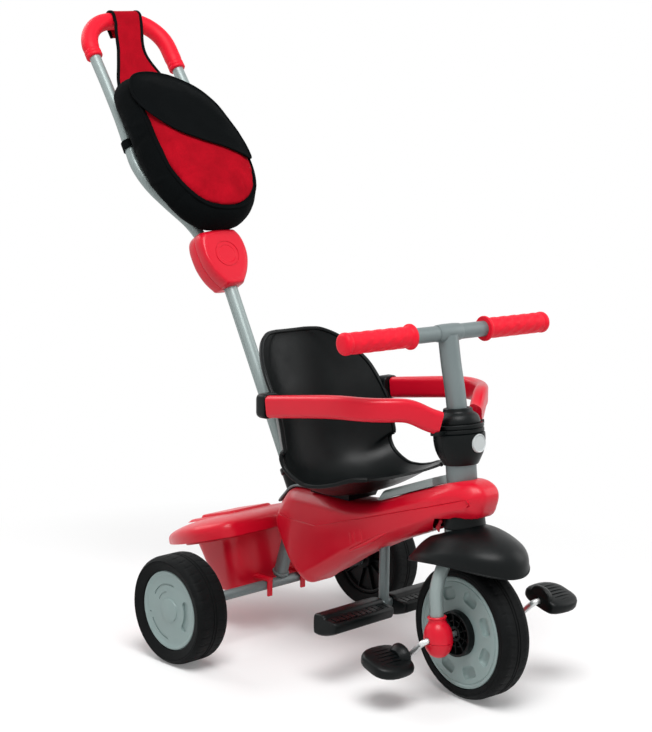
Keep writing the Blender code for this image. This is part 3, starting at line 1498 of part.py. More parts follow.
def build():
    axle_tube()
    rear_axle_rod()
    main_tube()
    handle_socket()
    head_tube()
    flange_low = SLEEVE_TOP + GAP
    headset_bush("headset_lower", HEAD_TUBE_BOTTOM - GAP, flange_low,
                 HEAD_TUBE_BOTTOM + BUSH_LENGTH)
    headset_bush("headset_upper", HEAD_TUBE_TOP + GAP, HEAD_TUBE_TOP + BUSH_FLANGE,
                 HEAD_TUBE_TOP - BUSH_LENGTH)
    fork()
    crown_sleeve()
    fender()
    steering_toggle()
    stem()
    crossbar()
    collar_half("collar_front", True)
    collar_half("collar_rear", False)
    badge_disc()
    front_wheel()
    crank_rod()
    seat_shell()
    seat_bracket()
    rear_edge_trim()
    top_cover()
    footrest_post()
    storage_tub()
    storage_lid()
    for side_name in SIDE_NAMES:
        rear_wheel(side_name)
        housing(side_name)
        pedal(side_name)
        grip(side_name)
        body_shell(side_name)
        safety_arm(side_name)
        foot_pad(side_name)
        bag_tape(side_name)
    handle_tube()
    clamp_half("clamp_front", True)
    clamp_half("clamp_rear", False)
    loop_tube()
    arch_grip()
    bag_body()
    bag_flap()
    bag_strap()


build()
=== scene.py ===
"""The looks of a child's push tricycle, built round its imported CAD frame.

Metres, +Z up. It rides towards -Y and its right side is -X, as in the frame. Pieces are made
in the frame of the assembly that carries them and ride on that assembly's body.
"""

import json
import math

import bmesh
import bpy
from mathutils import Matrix, Vector, noise
from mathutils.bvhtree import BVHTree


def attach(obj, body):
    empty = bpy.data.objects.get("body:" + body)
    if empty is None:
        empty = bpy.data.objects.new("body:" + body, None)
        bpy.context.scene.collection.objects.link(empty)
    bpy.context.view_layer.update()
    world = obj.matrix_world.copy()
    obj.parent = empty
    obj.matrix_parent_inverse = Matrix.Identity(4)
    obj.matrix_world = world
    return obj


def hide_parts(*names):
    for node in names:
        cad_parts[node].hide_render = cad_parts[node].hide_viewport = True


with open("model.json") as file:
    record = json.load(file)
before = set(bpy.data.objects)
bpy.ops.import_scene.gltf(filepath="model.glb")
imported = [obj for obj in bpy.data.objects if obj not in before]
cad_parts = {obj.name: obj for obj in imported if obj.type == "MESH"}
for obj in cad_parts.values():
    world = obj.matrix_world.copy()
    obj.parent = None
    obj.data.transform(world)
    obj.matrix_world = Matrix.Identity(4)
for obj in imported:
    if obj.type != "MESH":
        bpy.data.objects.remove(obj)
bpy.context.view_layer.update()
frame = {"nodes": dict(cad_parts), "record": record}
NODES = frame["nodes"]
SIDES = {"right": -1.0, "left": 1.0}
GAP = 0.0003
FULL_TURN = 6.2832

# Frames, as in the CAD source
REAR_AXLE_Y = 0.0225
RAKE = math.radians(6.2)
TURN = math.radians(-6.85)
HANDLE_LEAN = math.radians(27.5)
LOOP_LEAN = math.radians(8.5)
LID_SLOPE = math.radians(16)
CHASSIS = Matrix.Translation((0.0, REAR_AXLE_Y, 0.0))
HEAD = CHASSIS @ Matrix.Translation((0.0, -0.407, 0.100)) @ Matrix.Rotation(-RAKE, 4, "X")
STEERING = HEAD @ Matrix.Rotation(TURN, 4, "Z")
SPIN = STEERING @ Matrix.Rotation(RAKE, 4, "X")
HANDLE = (CHASSIS @ Matrix.Translation((0.0, -0.035, 0.243))
          @ Matrix.Rotation(-HANDLE_LEAN, 4, "X") @ Matrix.Rotation(TURN, 4, "Z"))
LOOP = HANDLE @ Matrix.Translation((0.0, 0.0, 0.430)) @ Matrix.Rotation(-LOOP_LEAN, 4, "X")
LID = (CHASSIS @ Matrix.Translation((0.0, 0.005, 0.177)) @ Matrix.Rotation(-LID_SLOPE, 4, "X"))
TO_SIDE = {name: Matrix.Rotation(side * math.pi / 2, 4, "Y") for name, side in SIDES.items()}


# Materials

def new_material(name):
    made = bpy.data.materials.new(name)
    made.use_nodes = True
    tree = made.node_tree
    return made, tree, tree.nodes["Principled BSDF"]


def link(tree, start, end):
    tree.links.new(start, end)


def object_coordinates(tree, scale=1.0):
    """Coordinates in the object's own metres, scaled."""
    place = tree.nodes.new("ShaderNodeTexCoord")
    mapping = tree.nodes.new("ShaderNodeMapping")
    mapping.inputs["Scale"].default_value = (scale, scale, scale)
    link(tree, place.outputs["Object"], mapping.inputs["Vector"])
    return mapping.outputs["Vector"]


def noise_node(tree, vector, scale, detail=3.0, roughness=0.5):
    node = tree.nodes.new("ShaderNodeTexNoise")
    node.inputs["Scale"].default_value = scale
    node.inputs["Detail"].default_value = detail
    node.inputs["Roughness"].default_value = roughness
    link(tree, vector, node.inputs["Vector"])
    return node.outputs["Fac"]


def ramp(tree, value, low, high, start=0.0, end=1.0):
    """A value or colour that runs from low to high as the input runs from start to end."""
    node = tree.nodes.new("ShaderNodeMapRange")
    node.inputs["From Min"].default_value = start
    node.inputs["From Max"].default_value = end
    node.inputs["To Min"].default_value = low
    node.inputs["To Max"].default_value = high
    link(tree, value, node.inputs["Value"])
    return node.outputs["Result"]


def math_node(tree, operation, first, second):
    node = tree.nodes.new("ShaderNodeMath")
    node.operation = operation
    link(tree, first, node.inputs[0])
    link(tree, second, node.inputs[1])
    return node.outputs[0]


def colour_mix(tree, value, low, high):
    node = tree.nodes.new("ShaderNodeMix")
    node.data_type = "RGBA"
    node.inputs["A"].default_value = (*low, 1.0)
    node.inputs["B"].default_value = (*high, 1.0)
    link(tree, value, node.inputs["Factor"])
    return node.outputs["Result"]


def bump(tree, shader, height, strength, distance):
    node = tree.nodes.new("ShaderNodeBump")
    node.inputs["Strength"].default_value = strength
    node.inputs["Distance"].default_value = distance
    link(tree, height, node.inputs["Height"])
    link(tree, node.outputs["Normal"], shader.inputs["Normal"])


def plastic(name, colour, roughness, grain, grain_depth, coat=0.0, spread=0.10, specular=0.5):
    """Moulded plastic: a slow drift of tone, fine grain and uneven gloss."""
    made, tree, shader = new_material(name)
    where = object_coordinates(tree)
    drift = noise_node(tree, where, 9.0, 2.0)
    darker = tuple(c * (1 - spread) for c in colour)
    lighter = tuple(min(1.0, c * (1 + spread)) for c in colour)
    link(tree, colour_mix(tree, drift, darker, lighter), shader.inputs["Base Color"])
    smudge = noise_node(tree, where, 35.0, 4.0, 0.6)
    link(tree, ramp(tree, smudge, roughness - 0.06, roughness + 0.07, 0.3, 0.7),
         shader.inputs["Roughness"])
    bump(tree, shader, noise_node(tree, where, grain, 2.0), 0.35, grain_depth)
    shader.inputs["Specular IOR Level"].default_value = specular
    shader.inputs["Coat Weight"].default_value = coat
    shader.inputs["Coat Roughness"].default_value = 0.12
    return made


def metal_paint(name, colour, roughness, metallic):
    """Powder coat with fine flakes and a faint orange peel."""
    made, tree, shader = new_material(name)
    where = object_coordinates(tree)
    flakes = noise_node(tree, where, 1800.0, 1.0)
    low = tuple(c * 0.88 for c in colour)
    high = tuple(min(1.0, c * 1.12) for c in colour)
    link(tree, colour_mix(tree, ramp(tree, flakes, 0.0, 1.0, 0.35, 0.65), low, high),
         shader.inputs["Base Color"])
    peel = noise_node(tree, where, 420.0, 2.0)
    link(tree, ramp(tree, peel, roughness - 0.05, roughness + 0.08, 0.3, 0.7),
         shader.inputs["Roughness"])
    bump(tree, shader, peel, 0.15, 0.0003)
    shader.inputs["Metallic"].default_value = metallic
    return made


def bare_steel(name, colour):
    made, tree, shader = new_material(name)
    where = object_coordinates(tree)
    streaks = noise_node(tree, where, 260.0, 4.0, 0.7)
    link(tree, colour_mix(tree, streaks, tuple(c * 0.8 for c in colour), colour),
         shader.inputs["Base Color"])
    link(tree, ramp(tree, streaks, 0.34, 0.52, 0.3, 0.7), shader.inputs["Roughness"])
    bump(tree, shader, streaks, 0.2, 0.0002)
    shader.inputs["Metallic"].default_value = 1.0
    return made


def tyre_rubber(name, colour):
    """Foamed tyre: matt, speckled, a little paler where it is scuffed."""
    made, tree, shader = new_material(name)
    where = object_coordinates(tree)
    speckle = noise_node(tree, where, 900.0, 2.0)
    scuff = noise_node(tree, where, 28.0, 5.0, 0.65)
    pale = tuple(c * 2.4 + 0.002 for c in colour)
    link(tree, colour_mix(tree, ramp(tree, scuff, 0.0, 0.7, 0.5, 0.8), colour, pale),
         shader.inputs["Base Color"])
    link(tree, ramp(tree, speckle, 0.55, 0.8, 0.3, 0.7), shader.inputs["Roughness"])
    bump(tree, shader, speckle, 0.4, 0.0004)
    shader.inputs["Specular IOR Level"].default_value = 0.12
    return made


def woven(name, colour, thread, sheen, specular, roughness=0.85, contrast=0.28):
    """Plain weave: two crossed sets of ribs over a soft drift of tone."""
    made, tree, shader = new_material(name)
    where = object_coordinates(tree)
    ribs = []
    for direction in ("X", "Z"):
        wave = tree.nodes.new("ShaderNodeTexWave")
        wave.wave_type = "BANDS"
        wave.bands_direction = direction
        wave.inputs["Scale"].default_value = thread / FULL_TURN
        wave.inputs["Distortion"].default_value = 0.6
        wave.inputs["Detail"].default_value = 1.0
        link(tree, where, wave.inputs["Vector"])
        ribs.append(wave.outputs["Fac"])
    both = math_node(tree, "MULTIPLY", *ribs)
    drift = noise_node(tree, where, 24.0, 4.0, 0.6)
    total = tree.nodes.new("ShaderNodeMath")
    total.operation = "MULTIPLY_ADD"
    total.inputs[1].default_value = 0.55
    link(tree, both, total.inputs[0])
    link(tree, ramp(tree, drift, 0.0, 0.6, 0.3, 0.7), total.inputs[2])
    low = tuple(c * (1 - contrast) for c in colour)
    high = tuple(min(1.0, c * (1 + contrast)) for c in colour)
    link(tree, colour_mix(tree, total.outputs[0], low, high), shader.inputs["Base Color"])
    bump(tree, shader, both, 0.45, 0.0005)
    shader.inputs["Roughness"].default_value = roughness
    shader.inputs["Specular IOR Level"].default_value = specular
    shader.inputs["Sheen Weight"].default_value = sheen
    shader.inputs["Sheen Roughness"].default_value = 0.5
    return made


RED = (0.62, 0.0032, 0.020)
LOOK = {
    "red_plastic": plastic("red_moulded", RED, 0.34, 600.0, 0.0002, 0.08, 0.07, 0.28),
    "frame_paint": metal_paint("frame_coat", (0.155, 0.190, 0.192), 0.42, 0.3),
    "light_paint": metal_paint("light_coat", (0.255, 0.305, 0.300), 0.38, 0.3),
    "grey_plastic": plastic("grey_moulded", (0.165, 0.200, 0.200), 0.42, 700.0, 0.0002),
    "wheel_plastic": plastic("wheel_moulded", (0.235, 0.310, 0.302), 0.40, 700.0, 0.0002),
    "black_plastic": plastic("black_moulded", (0.0024, 0.0036, 0.0038), 0.36, 900.0, 0.0004,
                             specular=0.15),
    "tyre": tyre_rubber("tyre_foam", (0.0016, 0.0021, 0.0023)),
    "steel": bare_steel("zinc_steel", (0.76, 0.78, 0.78)),
    "silver": plastic("silver_coat", (0.50, 0.53, 0.53), 0.32, 500.0, 0.0001, 0.2),
    "red_rubber": plastic("red_grip", (0.74, 0.006, 0.024), 0.50, 1100.0, 0.0003, 0.0, 0.06, 0.2),
    "black_fabric": woven("black_weave", (0.0016, 0.0023, 0.0026), 1500.0, 0.0, 0.05),
    "red_fabric": woven("red_weave", (0.36, 0.0028, 0.0110), 1500.0, 0.0, 0.05),
}
SLOT_OF = {row["node"]: row["material_slot"] for row in frame["record"]["subparts"]}
for node_name, node in NODES.items():
    node.data.materials.clear()
    node.data.materials.append(LOOK[SLOT_OF[node_name]])


# Camera, floor, light

def look_from(place, right, up, forward, focal_px, width_px):
    camera = bpy.data.cameras.new("camera")
    camera.sensor_width = 36.0
    camera.sensor_fit = "HORIZONTAL"
    camera.lens = 36.0 * focal_px / width_px
    camera.clip_end = 30.0
    made = bpy.data.objects.new("camera", camera)
    bpy.context.scene.collection.objects.link(made)
    turn = Matrix((right, up, (-forward[0], -forward[1], -forward[2]))).transposed()
    made.matrix_world = Matrix.Translation(place) @ turn.to_4x4()
    bpy.context.scene.camera = made


look_from((-1.6709, -1.7794, 0.8171), (0.71475, -0.69932, 0.00910),
          (0.09861, 0.11365, 0.98862), (0.69240, 0.70571, -0.15019), 1536.15, 652.0)


def soft_light(name, place, aim, size, power, tint=(1.0, 1.0, 1.0)):
    lamp = bpy.data.lights.new(name, "AREA")
    lamp.shape = "RECTANGLE"
    lamp.size = size[0]
    lamp.size_y = size[1]
    lamp.energy = power
    lamp.color = tint
    made = bpy.data.objects.new(name, lamp)
    bpy.context.scene.collection.objects.link(made)
    made.location = place
    made.rotation_euler = (Vector(aim) - Vector(place)).to_track_quat("-Z", "Y").to_euler()


def shader_mix(tree, share, low, high):
    mixed = tree.nodes.new("ShaderNodeMixShader")
    link(tree, share, mixed.inputs["Fac"])
    link(tree, low, mixed.inputs[1])
    link(tree, high, mixed.inputs[2])
    return mixed.outputs[0]


def seen_ray(tree):
    """1 where a camera, glossy or transmission ray looks, and 0 for the light itself."""
    path = tree.nodes.new("ShaderNodeLightPath")
    either = path.outputs["Is Camera Ray"]
    for name in ("Is Glossy Ray", "Is Transmission Ray"):
        either = math_node(tree, "MAXIMUM", either, path.outputs[name])
    return either


FLOOR_GLOW = 0.16
WORLD_LIGHT = 0.34


def paper_floor():
    """A pale floor: it keeps the shadow under the wheels and turns plain white farther out."""
    mesh = bpy.data.meshes.new("floor")
    half = 12.0
    mesh.from_pydata([(-half, -half, 0), (half, -half, 0), (half, half, 0), (-half, half, 0)],
                     [], [(0, 1, 2, 3)])
    floor = bpy.data.objects.new("floor", mesh)
    bpy.context.scene.collection.objects.link(floor)
    floor.location.z = -0.0006
    made = bpy.data.materials.new("floor_paper")
    made.use_nodes = True
    tree = made.node_tree
    tree.nodes.clear()
    out = tree.nodes.new("ShaderNodeOutputMaterial")
    matt = tree.nodes.new("ShaderNodeBsdfDiffuse")
    matt.inputs["Color"].default_value = (0.90, 0.90, 0.90, 1.0)
    glow = tree.nodes.new("ShaderNodeEmission")
    glow.inputs["Color"].default_value = (1.0, 1.0, 1.0, 1.0)
    glow.inputs["Strength"].default_value = 1.0
    where = tree.nodes.new("ShaderNodeTexCoord")
    distance = tree.nodes.new("ShaderNodeVectorMath")
    distance.operation = "LENGTH"
    link(tree, where.outputs["Object"], distance.inputs[0])
    farther = ramp(tree, distance.outputs["Value"], FLOOR_GLOW, 1.0, 0.50, 0.95)
    share = math_node(tree, "MULTIPLY", seen_ray(tree), farther)
    link(tree, shader_mix(tree, share, matt.outputs[0], glow.outputs[0]), out.inputs["Surface"])
    floor.data.materials.append(made)


def pale_world():
    world = bpy.data.worlds.new("studio")
    bpy.context.scene.world = world
    world.use_nodes = True
    tree = world.node_tree
    tree.nodes.clear()
    out = tree.nodes.new("ShaderNodeOutputWorld")
    lit = tree.nodes.new("ShaderNodeBackground")
    seen = tree.nodes.new("ShaderNodeBackground")
    for plain, strength in ((lit, WORLD_LIGHT), (seen, 1.0)):
        plain.inputs["Color"].default_value = (1.0, 1.0, 1.0, 1.0)
        plain.inputs["Strength"].default_value = strength
    link(tree, shader_mix(tree, seen_ray(tree), lit.outputs[0], seen.outputs[0]),
         out.inputs["Surface"])


paper_floor()
pale_world()
AIM = (0.0, -0.05, 0.42)
soft_light("key", (-0.9, -1.1, 2.7), AIM, (1.5, 1.5), 74.0)
soft_light("fill", (1.9, -1.4, 1.4), AIM, (1.6, 1.6), 14.0)
soft_light("back", (-0.4, 2.0, 1.9), AIM, (1.8, 1.2), 22.0)
bpy.context.scene.view_settings.view_transform = "Standard"


# Mesh tools

def mesh_of(build):
    shape = bmesh.new()
    build(shape)
    bmesh.ops.recalc_face_normals(shape, faces=shape.faces)
    mesh = bpy.data.meshes.new("shape")
    shape.to_mesh(mesh)
    shape.free()
    return mesh


def place(name, mesh, look, body, matrix, angle=35.0, replaced=None):
    """A piece in its assembly's frame. It replaces the node of its name, or the given ones."""
    made = bpy.data.objects.new(name, mesh)
    bpy.context.scene.collection.objects.link(made)
    mesh.materials.append(LOOK[look])
    mesh.shade_smooth()
    if angle:
        mesh.set_sharp_from_angle(angle=math.radians(angle))
    made.matrix_world = matrix
    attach(made, body)
    if replaced is None and name in NODES:
        replaced = (name,)
    if replaced:
        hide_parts(*replaced)
    return made


def turned_mesh(profile, sides=96, ring=False, warp=None):
    """A skin turned round local Z through (radius, height) points, with an optional warp."""
    def build(shape):
        rows = []
        for radius, height in profile:
            if radius < 1e-6:
                rows.append([shape.verts.new((0.0, 0.0, height))])
                continue
            row = []
            for i in range(sides):
                angle = 2 * math.pi * i / sides
                out, up = (radius, height) if warp is None else warp(radius, height, i)
                row.append(shape.verts.new((out * math.cos(angle), out * math.sin(angle), up)))
            rows.append(row)
        pairs = list(zip(rows, rows[1:]))
        if ring:
            pairs.append((rows[-1], rows[0]))
        for row, following in pairs:
            for i in range(sides):
                j = (i + 1) % sides
                if len(row) == 1 and len(following) == 1:
                    continue
                if len(row) == 1:
                    shape.faces.new((row[0], following[j], following[i]))
                elif len(following) == 1:
                    shape.faces.new((row[i], row[j], following[0]))
                else:
                    shape.faces.new((row[i], row[j], following[j], following[i]))
    return mesh_of(build)


def loft_mesh(rings, close_start=True, close_end=True, cyclic=True):
    count = len(rings[0])

    def build(shape):
        rows = [[shape.verts.new(point) for point in ring] for ring in rings]
        last = count if cyclic else count - 1
        for row, following in zip(rows, rows[1:]):
            for i in range(last):
                j = (i + 1) % count
                shape.faces.new((row[i], row[j], following[j], following[i]))
        if close_start:
            shape.faces.new(rows[0])
        if close_end:
            shape.faces.new(rows[-1])
    return mesh_of(build)


def box_mesh(low, high):
    def build(shape):
        size = [high[i] - low[i] for i in range(3)]
        middle = [(high[i] + low[i]) / 2 for i in range(3)]
        bmesh.ops.create_cube(shape, size=1.0, matrix=Matrix.Translation(middle)
                              @ Matrix.Diagonal((*size, 1.0)))
    return mesh_of(build)


def curve_point(before, start, end, after, t):
    """The Catmull-Rom point at share t between start and end."""
    return 0.5 * (2 * start + (end - before) * t
                  + (2 * before - 5 * start + 4 * end - after) * t * t
                  + (3 * start - before - 3 * end + after) * t ** 3)


def smooth_run(points, steps):
    """A Catmull-Rom run through the points."""
    run = []
    last = len(points) - 1
    for i in range(last):
        before = Vector(points[max(i - 1, 0)])
        start = Vector(points[i])
        end = Vector(points[i + 1])
        after = Vector(points[min(i + 2, last)])
        for k in range(steps):
            run.append(curve_point(before, start, end, after, k / steps))
    run.append(Vector(points[last]))
    return run


def frames_along(run, up):
    """For each point of the run, its side and up directions, with up held near a hint."""
    found = []
    last = len(run) - 1
    for i, here in enumerate(run):
        before = run[max(i - 1, 0)]
        after = run[min(i + 1, last)]
        ahead = (Vector(after) - Vector(before)).normalized()
        side = ahead.cross(Vector(up)).normalized()
        found.append((Vector(here), side, side.cross(ahead).normalized()))
    return found


def swept_mesh(run, section, up=(0.0, 0.0, 1.0), close=True, grow=None):
    """A closed section swept along a run; grow gives a scale for each point."""
    rings = []
    for i, (here, side, top) in enumerate(frames_along(run, up)):
        size = 1.0 if grow is None else grow(i / (len(run) - 1))
        rings.append([here + side * (x * size) + top * (y * size) for x, y in section])
    return loft_mesh(rings, close, close)


def circle(radius, sides=28):
    return [(radius * math.cos(2 * math.pi * i / sides), radius * math.sin(2 * math.pi * i / sides))
            for i in range(sides)]


def rounded_box(half_x, half_y, corner, steps=4):
    outline = []
    for cx, cy, start in ((half_x - corner, half_y - corner, 0),
                          (-half_x + corner, half_y - corner, 90),
                          (-half_x + corner, -half_y + corner, 180),
                          (half_x - corner, -half_y + corner, 270)):
        for k in range(steps + 1):
            angle = math.radians(start + 90 * k / steps)
            outline.append((cx + corner * math.cos(angle), cy + corner * math.sin(angle)))
    return outline


def combine(made, mesh, operation="DIFFERENCE"):
    """Cuts or joins a mesh, given in the piece's own frame, and bakes the result."""
    tool = bpy.data.objects.new("tool", mesh)
    bpy.context.scene.collection.objects.link(tool)
    tool.matrix_world = made.matrix_world.copy()
    step = made.modifiers.new("step", "BOOLEAN")
    step.operation = operation
    step.solver = "EXACT"
    step.object = tool
    bake(made)
    bpy.data.objects.remove(tool, do_unlink=True)


def bake(made, angle=35.0):
    """Applies the piece's modifiers to its mesh."""
    bpy.context.view_layer.update()
    graph = bpy.context.evaluated_depsgraph_get()
    mesh = bpy.data.meshes.new_from_object(made.evaluated_get(graph))
    made.modifiers.clear()
    made.data = mesh
    mesh.shade_smooth()
    if angle:
        mesh.set_sharp_from_angle(angle=math.radians(angle))


def soften(made, width, segments=3, angle=30.0):
    """Rounds the sharp edges of a piece."""
    edge = made.modifiers.new("rounding", "BEVEL")
    edge.width = width
    edge.segments = segments
    edge.limit_method = "ANGLE"
    edge.angle_limit = math.radians(angle)
    return made


def even_normals(made):
    """Lets the large faces set the shading beside narrow cuts."""
    step = made.modifiers.new("normals", "WEIGHTED_NORMAL")
    step.keep_sharp = True
    return made


def thicken(made, wall, offset=-1.0):
    skin = made.modifiers.new("wall", "SOLIDIFY")
    skin.thickness = wall
    skin.offset = offset
    skin.use_even_offset = True
    return made


def finer(made, levels=1):
    step = made.modifiers.new("finer", "SUBSURF")
    step.levels = levels
    step.render_levels = levels
    return made


def smooth_loop(points, steps):
    """A closed Catmull-Rom outline through 2-D points."""
    count = len(points)
    outline = []
    for i in range(count):
        before = Vector(points[i - 1])
        start = Vector(points[i])
        end = Vector(points[(i + 1) % count])
        after = Vector(points[(i + 2) % count])
        for k in range(steps):
            outline.append(tuple(curve_point(before, start, end, after, k / steps)))
    return outline


def both_sides(right):
    """A right half outline with its mirror image after it."""
    return right + [(-x, z) for x, z in reversed(right)]


def plate_mesh(outline, low, high):
    """An outline in the local XY plane, filled and thickened from low to high."""
    return loft_mesh([[(x, y, low) for x, y in outline], [(x, y, high) for x, y in outline]])


def rod_mesh(radius, start, end, sides=40):
    """A straight round bar between two points."""
    start = Vector(start)
    end = Vector(end)
    turn = (end - start).to_track_quat("Z", "Y").to_matrix()
    rings = []
    for here in (start, end):
        rings.append([here + turn @ Vector((x, y, 0.0)) for x, y in circle(radius, sides)])
    return loft_mesh(rings)


def moved(mesh, matrix):
    mesh.transform(matrix)
    return mesh


def cut_with(made, mesh, matrix):
    """Cuts a mesh that is given in another frame."""
    combine(made, moved(mesh, made.matrix_world.inverted() @ matrix))


def join_meshes(meshes):
    shape = bmesh.new()
    for mesh in meshes:
        shape.from_mesh(mesh)
    joined = bpy.data.meshes.new("joined")
    shape.to_mesh(joined)
    shape.free()
    return joined


def slot_outline(radius, start, end, half_width, steps=18):
    """A curved slot with round ends, as an outline round the origin; angles in degrees."""
    outline = []
    for k in range(steps + 1):
        angle = math.radians(start + (end - start) * k / steps)
        outline.append(((radius + half_width) * math.cos(angle),
                        (radius + half_width) * math.sin(angle)))
    for side, first in ((end, True), (start, False)):
        centre_angle = math.radians(side)
        cx = radius * math.cos(centre_angle)
        cy = radius * math.sin(centre_angle)
        for k in range(1, 8):
            turn = centre_angle + math.pi * k / 8 + (0.0 if first else math.pi)
            outline.append((cx + half_width * math.cos(turn), cy + half_width * math.sin(turn)))
        if first:
            for k in range(steps + 1):
                angle = math.radians(end + (start - end) * k / steps)
                outline.append(((radius - half_width) * math.cos(angle),
                                (radius - half_width) * math.sin(angle)))
    return outline


# Wheels

TREAD_DEPTH = 0.0008


def tread_warp(radius, half, sides, pitch):
    """Shallow grooves across both shoulders, staggered from one side to the other."""
    def warp(out, up, i):
        band = abs(up) / half
        if out < radius - 0.0012 or band < 0.30 or band > 0.86:
            return out, up
        step = (i + (pitch // 2 if up > 0 else 0) + round(band * 3)) % pitch
        return (out - TREAD_DEPTH, up) if step == 0 else (out, up)
    return warp


def tyre(name, radius, half, bead, body, matrix, sides, pitch):
    """A closed ring whose half section runs from the bead to the middle of the tread."""
    tread = [(radius - 0.0058, half - 0.0009), (radius - 0.0032, half - 0.0028),
             (radius - 0.0012, half - 0.0058), (radius - 0.0004, half - 0.0088)]
    bands = [(radius, half * share) for share in (0.60, 0.52, 0.50, 0.36, 0.32, 0.16, 0.14)]
    groove = [(radius - TREAD_DEPTH, half * 0.13), (radius - TREAD_DEPTH, half * 0.05),
              (radius, half * 0.04)]
    section = bead + tread + bands + groove
    section += [(out, -up) for out, up in reversed(section)]
    mesh = turned_mesh(section, sides, True, tread_warp(radius, half, sides, pitch))
    return place(name, mesh, "tyre", body, matrix, 28.0)


FRONT_HALF = 0.026
FRONT_BEAD = [(0.0830, 0.0100), (0.0830, 0.0238), (0.0836, 0.0250), (0.0850, 0.0256),
              (0.0880, 0.0259), (0.0900, 0.0259), (0.0906, 0.0253), (0.0912, 0.0259),
              (0.0930, 0.0259)]
tyre("front_tyre", 0.100, FRONT_HALF, FRONT_BEAD, "front_wheel", SPIN @ TO_SIDE["left"], 320, 8)

REAR_HALF = 0.029
REAR_BEAD = [(0.0625, 0.0080), (0.0625, 0.0218), (0.0630, 0.0232), (0.0642, 0.0242),
             (0.0670, 0.0252), (0.0705, 0.0264), (0.0745, 0.0277), (0.0762, 0.0281),
             (0.0770, 0.0276), (0.0777, 0.0284), (0.0785, 0.0289)]
REAR_AXLE_Z = 0.085
REAR_CENTRE = 0.216
REAR_SPIN = {}
for side_name, side in SIDES.items():
    REAR_SPIN[side_name] = CHASSIS @ Matrix.Translation((side * REAR_CENTRE, 0.0, REAR_AXLE_Z))
    tyre("rear_tyre_" + side_name, 0.085, REAR_HALF, REAR_BEAD, "rear_wheel_" + side_name,
         REAR_SPIN[side_name] @ TO_SIDE[side_name], 288, 8)

POCKETS = 8
POCKET_RING = 0.0585
FRONT_FACE = 0.024


def round_the_ring(mesh_at, count, radius, start=0.5):
    """Copies of a mesh round the local Z axis."""
    made = []
    for i in range(count):
        angle = 2 * math.pi * (i + start) / count
        turn = Matrix.Rotation(angle, 4, "Z") @ Matrix.Translation((radius, 0.0, 0.0))
        made.append(moved(mesh_at(), turn))
    return join_meshes(made)


def front_disc(side_name):
    """A disc with a raised lip at the rim and a ring of rounded pockets."""
    matrix = SPIN @ TO_SIDE[side_name]
    face = FRONT_FACE
    profile = [(0.0049, face), (0.0748, face), (0.0756, face - 0.0008), (0.0764, face - 0.0008),
               (0.0772, face + 0.0002), (0.0782, face + 0.0010), (0.0806, face + 0.0010),
               (0.0820, face + 0.0002), (0.0827, face - 0.0016), (0.0827, GAP),
               (0.0787, GAP), (0.0787, face - 0.0085), (0.0130, face - 0.0085), (0.0130, GAP),
               (0.0049, GAP)]
    name = "front_disc_" + side_name
    disc = place(name, turned_mesh(profile, 128, True), "wheel_plastic", "front_wheel", matrix,
                 30.0)

    def bowl():
        rings = []
        for height, share in ((0.0040, 1.0), (0.0, 1.0), (-0.0034, 0.96), (-0.0053, 0.86),
                              (-0.0064, 0.68), (-0.0068, 0.40)):
            outline = rounded_box(0.0092 * share, 0.0136 * share, 0.0066 * share, 6)
            rings.append([(x, y, face + height) for x, y in outline])
        return loft_mesh(rings)

    combine(disc, round_the_ring(bowl, POCKETS, POCKET_RING))
    soften(disc, 0.0007, 2, 40.0)


def hub_ring(side_name):
    """A black cup on the disc with thin ribs between its wall and its hub."""
    base = FRONT_FACE + GAP
    top = FRONT_FACE + 0.012
    profile = [(0.0070, base), (0.0070, top - 0.0035), (0.0078, top - 0.0030),
               (0.0105, top - 0.0030), (0.0112, top - 0.0036), (0.0116, base + 0.0022),
               (0.0185, base + 0.0022), (0.0187, top - 0.0050), (0.0200, top - 0.0050),
               (0.0202, base + 0.0022), (0.0300, base + 0.0022), (0.0303, top - 0.0006),
               (0.0310, top), (0.0325, top), (0.0336, top - 0.0010), (0.0340, top - 0.0028),
               (0.0340, base)]
    name = "hub_ring_" + side_name
    matrix = SPIN @ TO_SIDE[side_name]
    place(name, turned_mesh(profile, 112, True), "black_plastic", "front_wheel", matrix, 30.0)

    def rib():
        return box_mesh((-0.0100, -0.0007, base + 0.0020), (0.0097, 0.0007, top - 0.0030))

    ribs = round_the_ring(rib, 10, 0.0207, 0.2)
    soften(place("hub_ribs_" + side_name, ribs, "black_plastic", "front_wheel", matrix), 0.0003, 2)


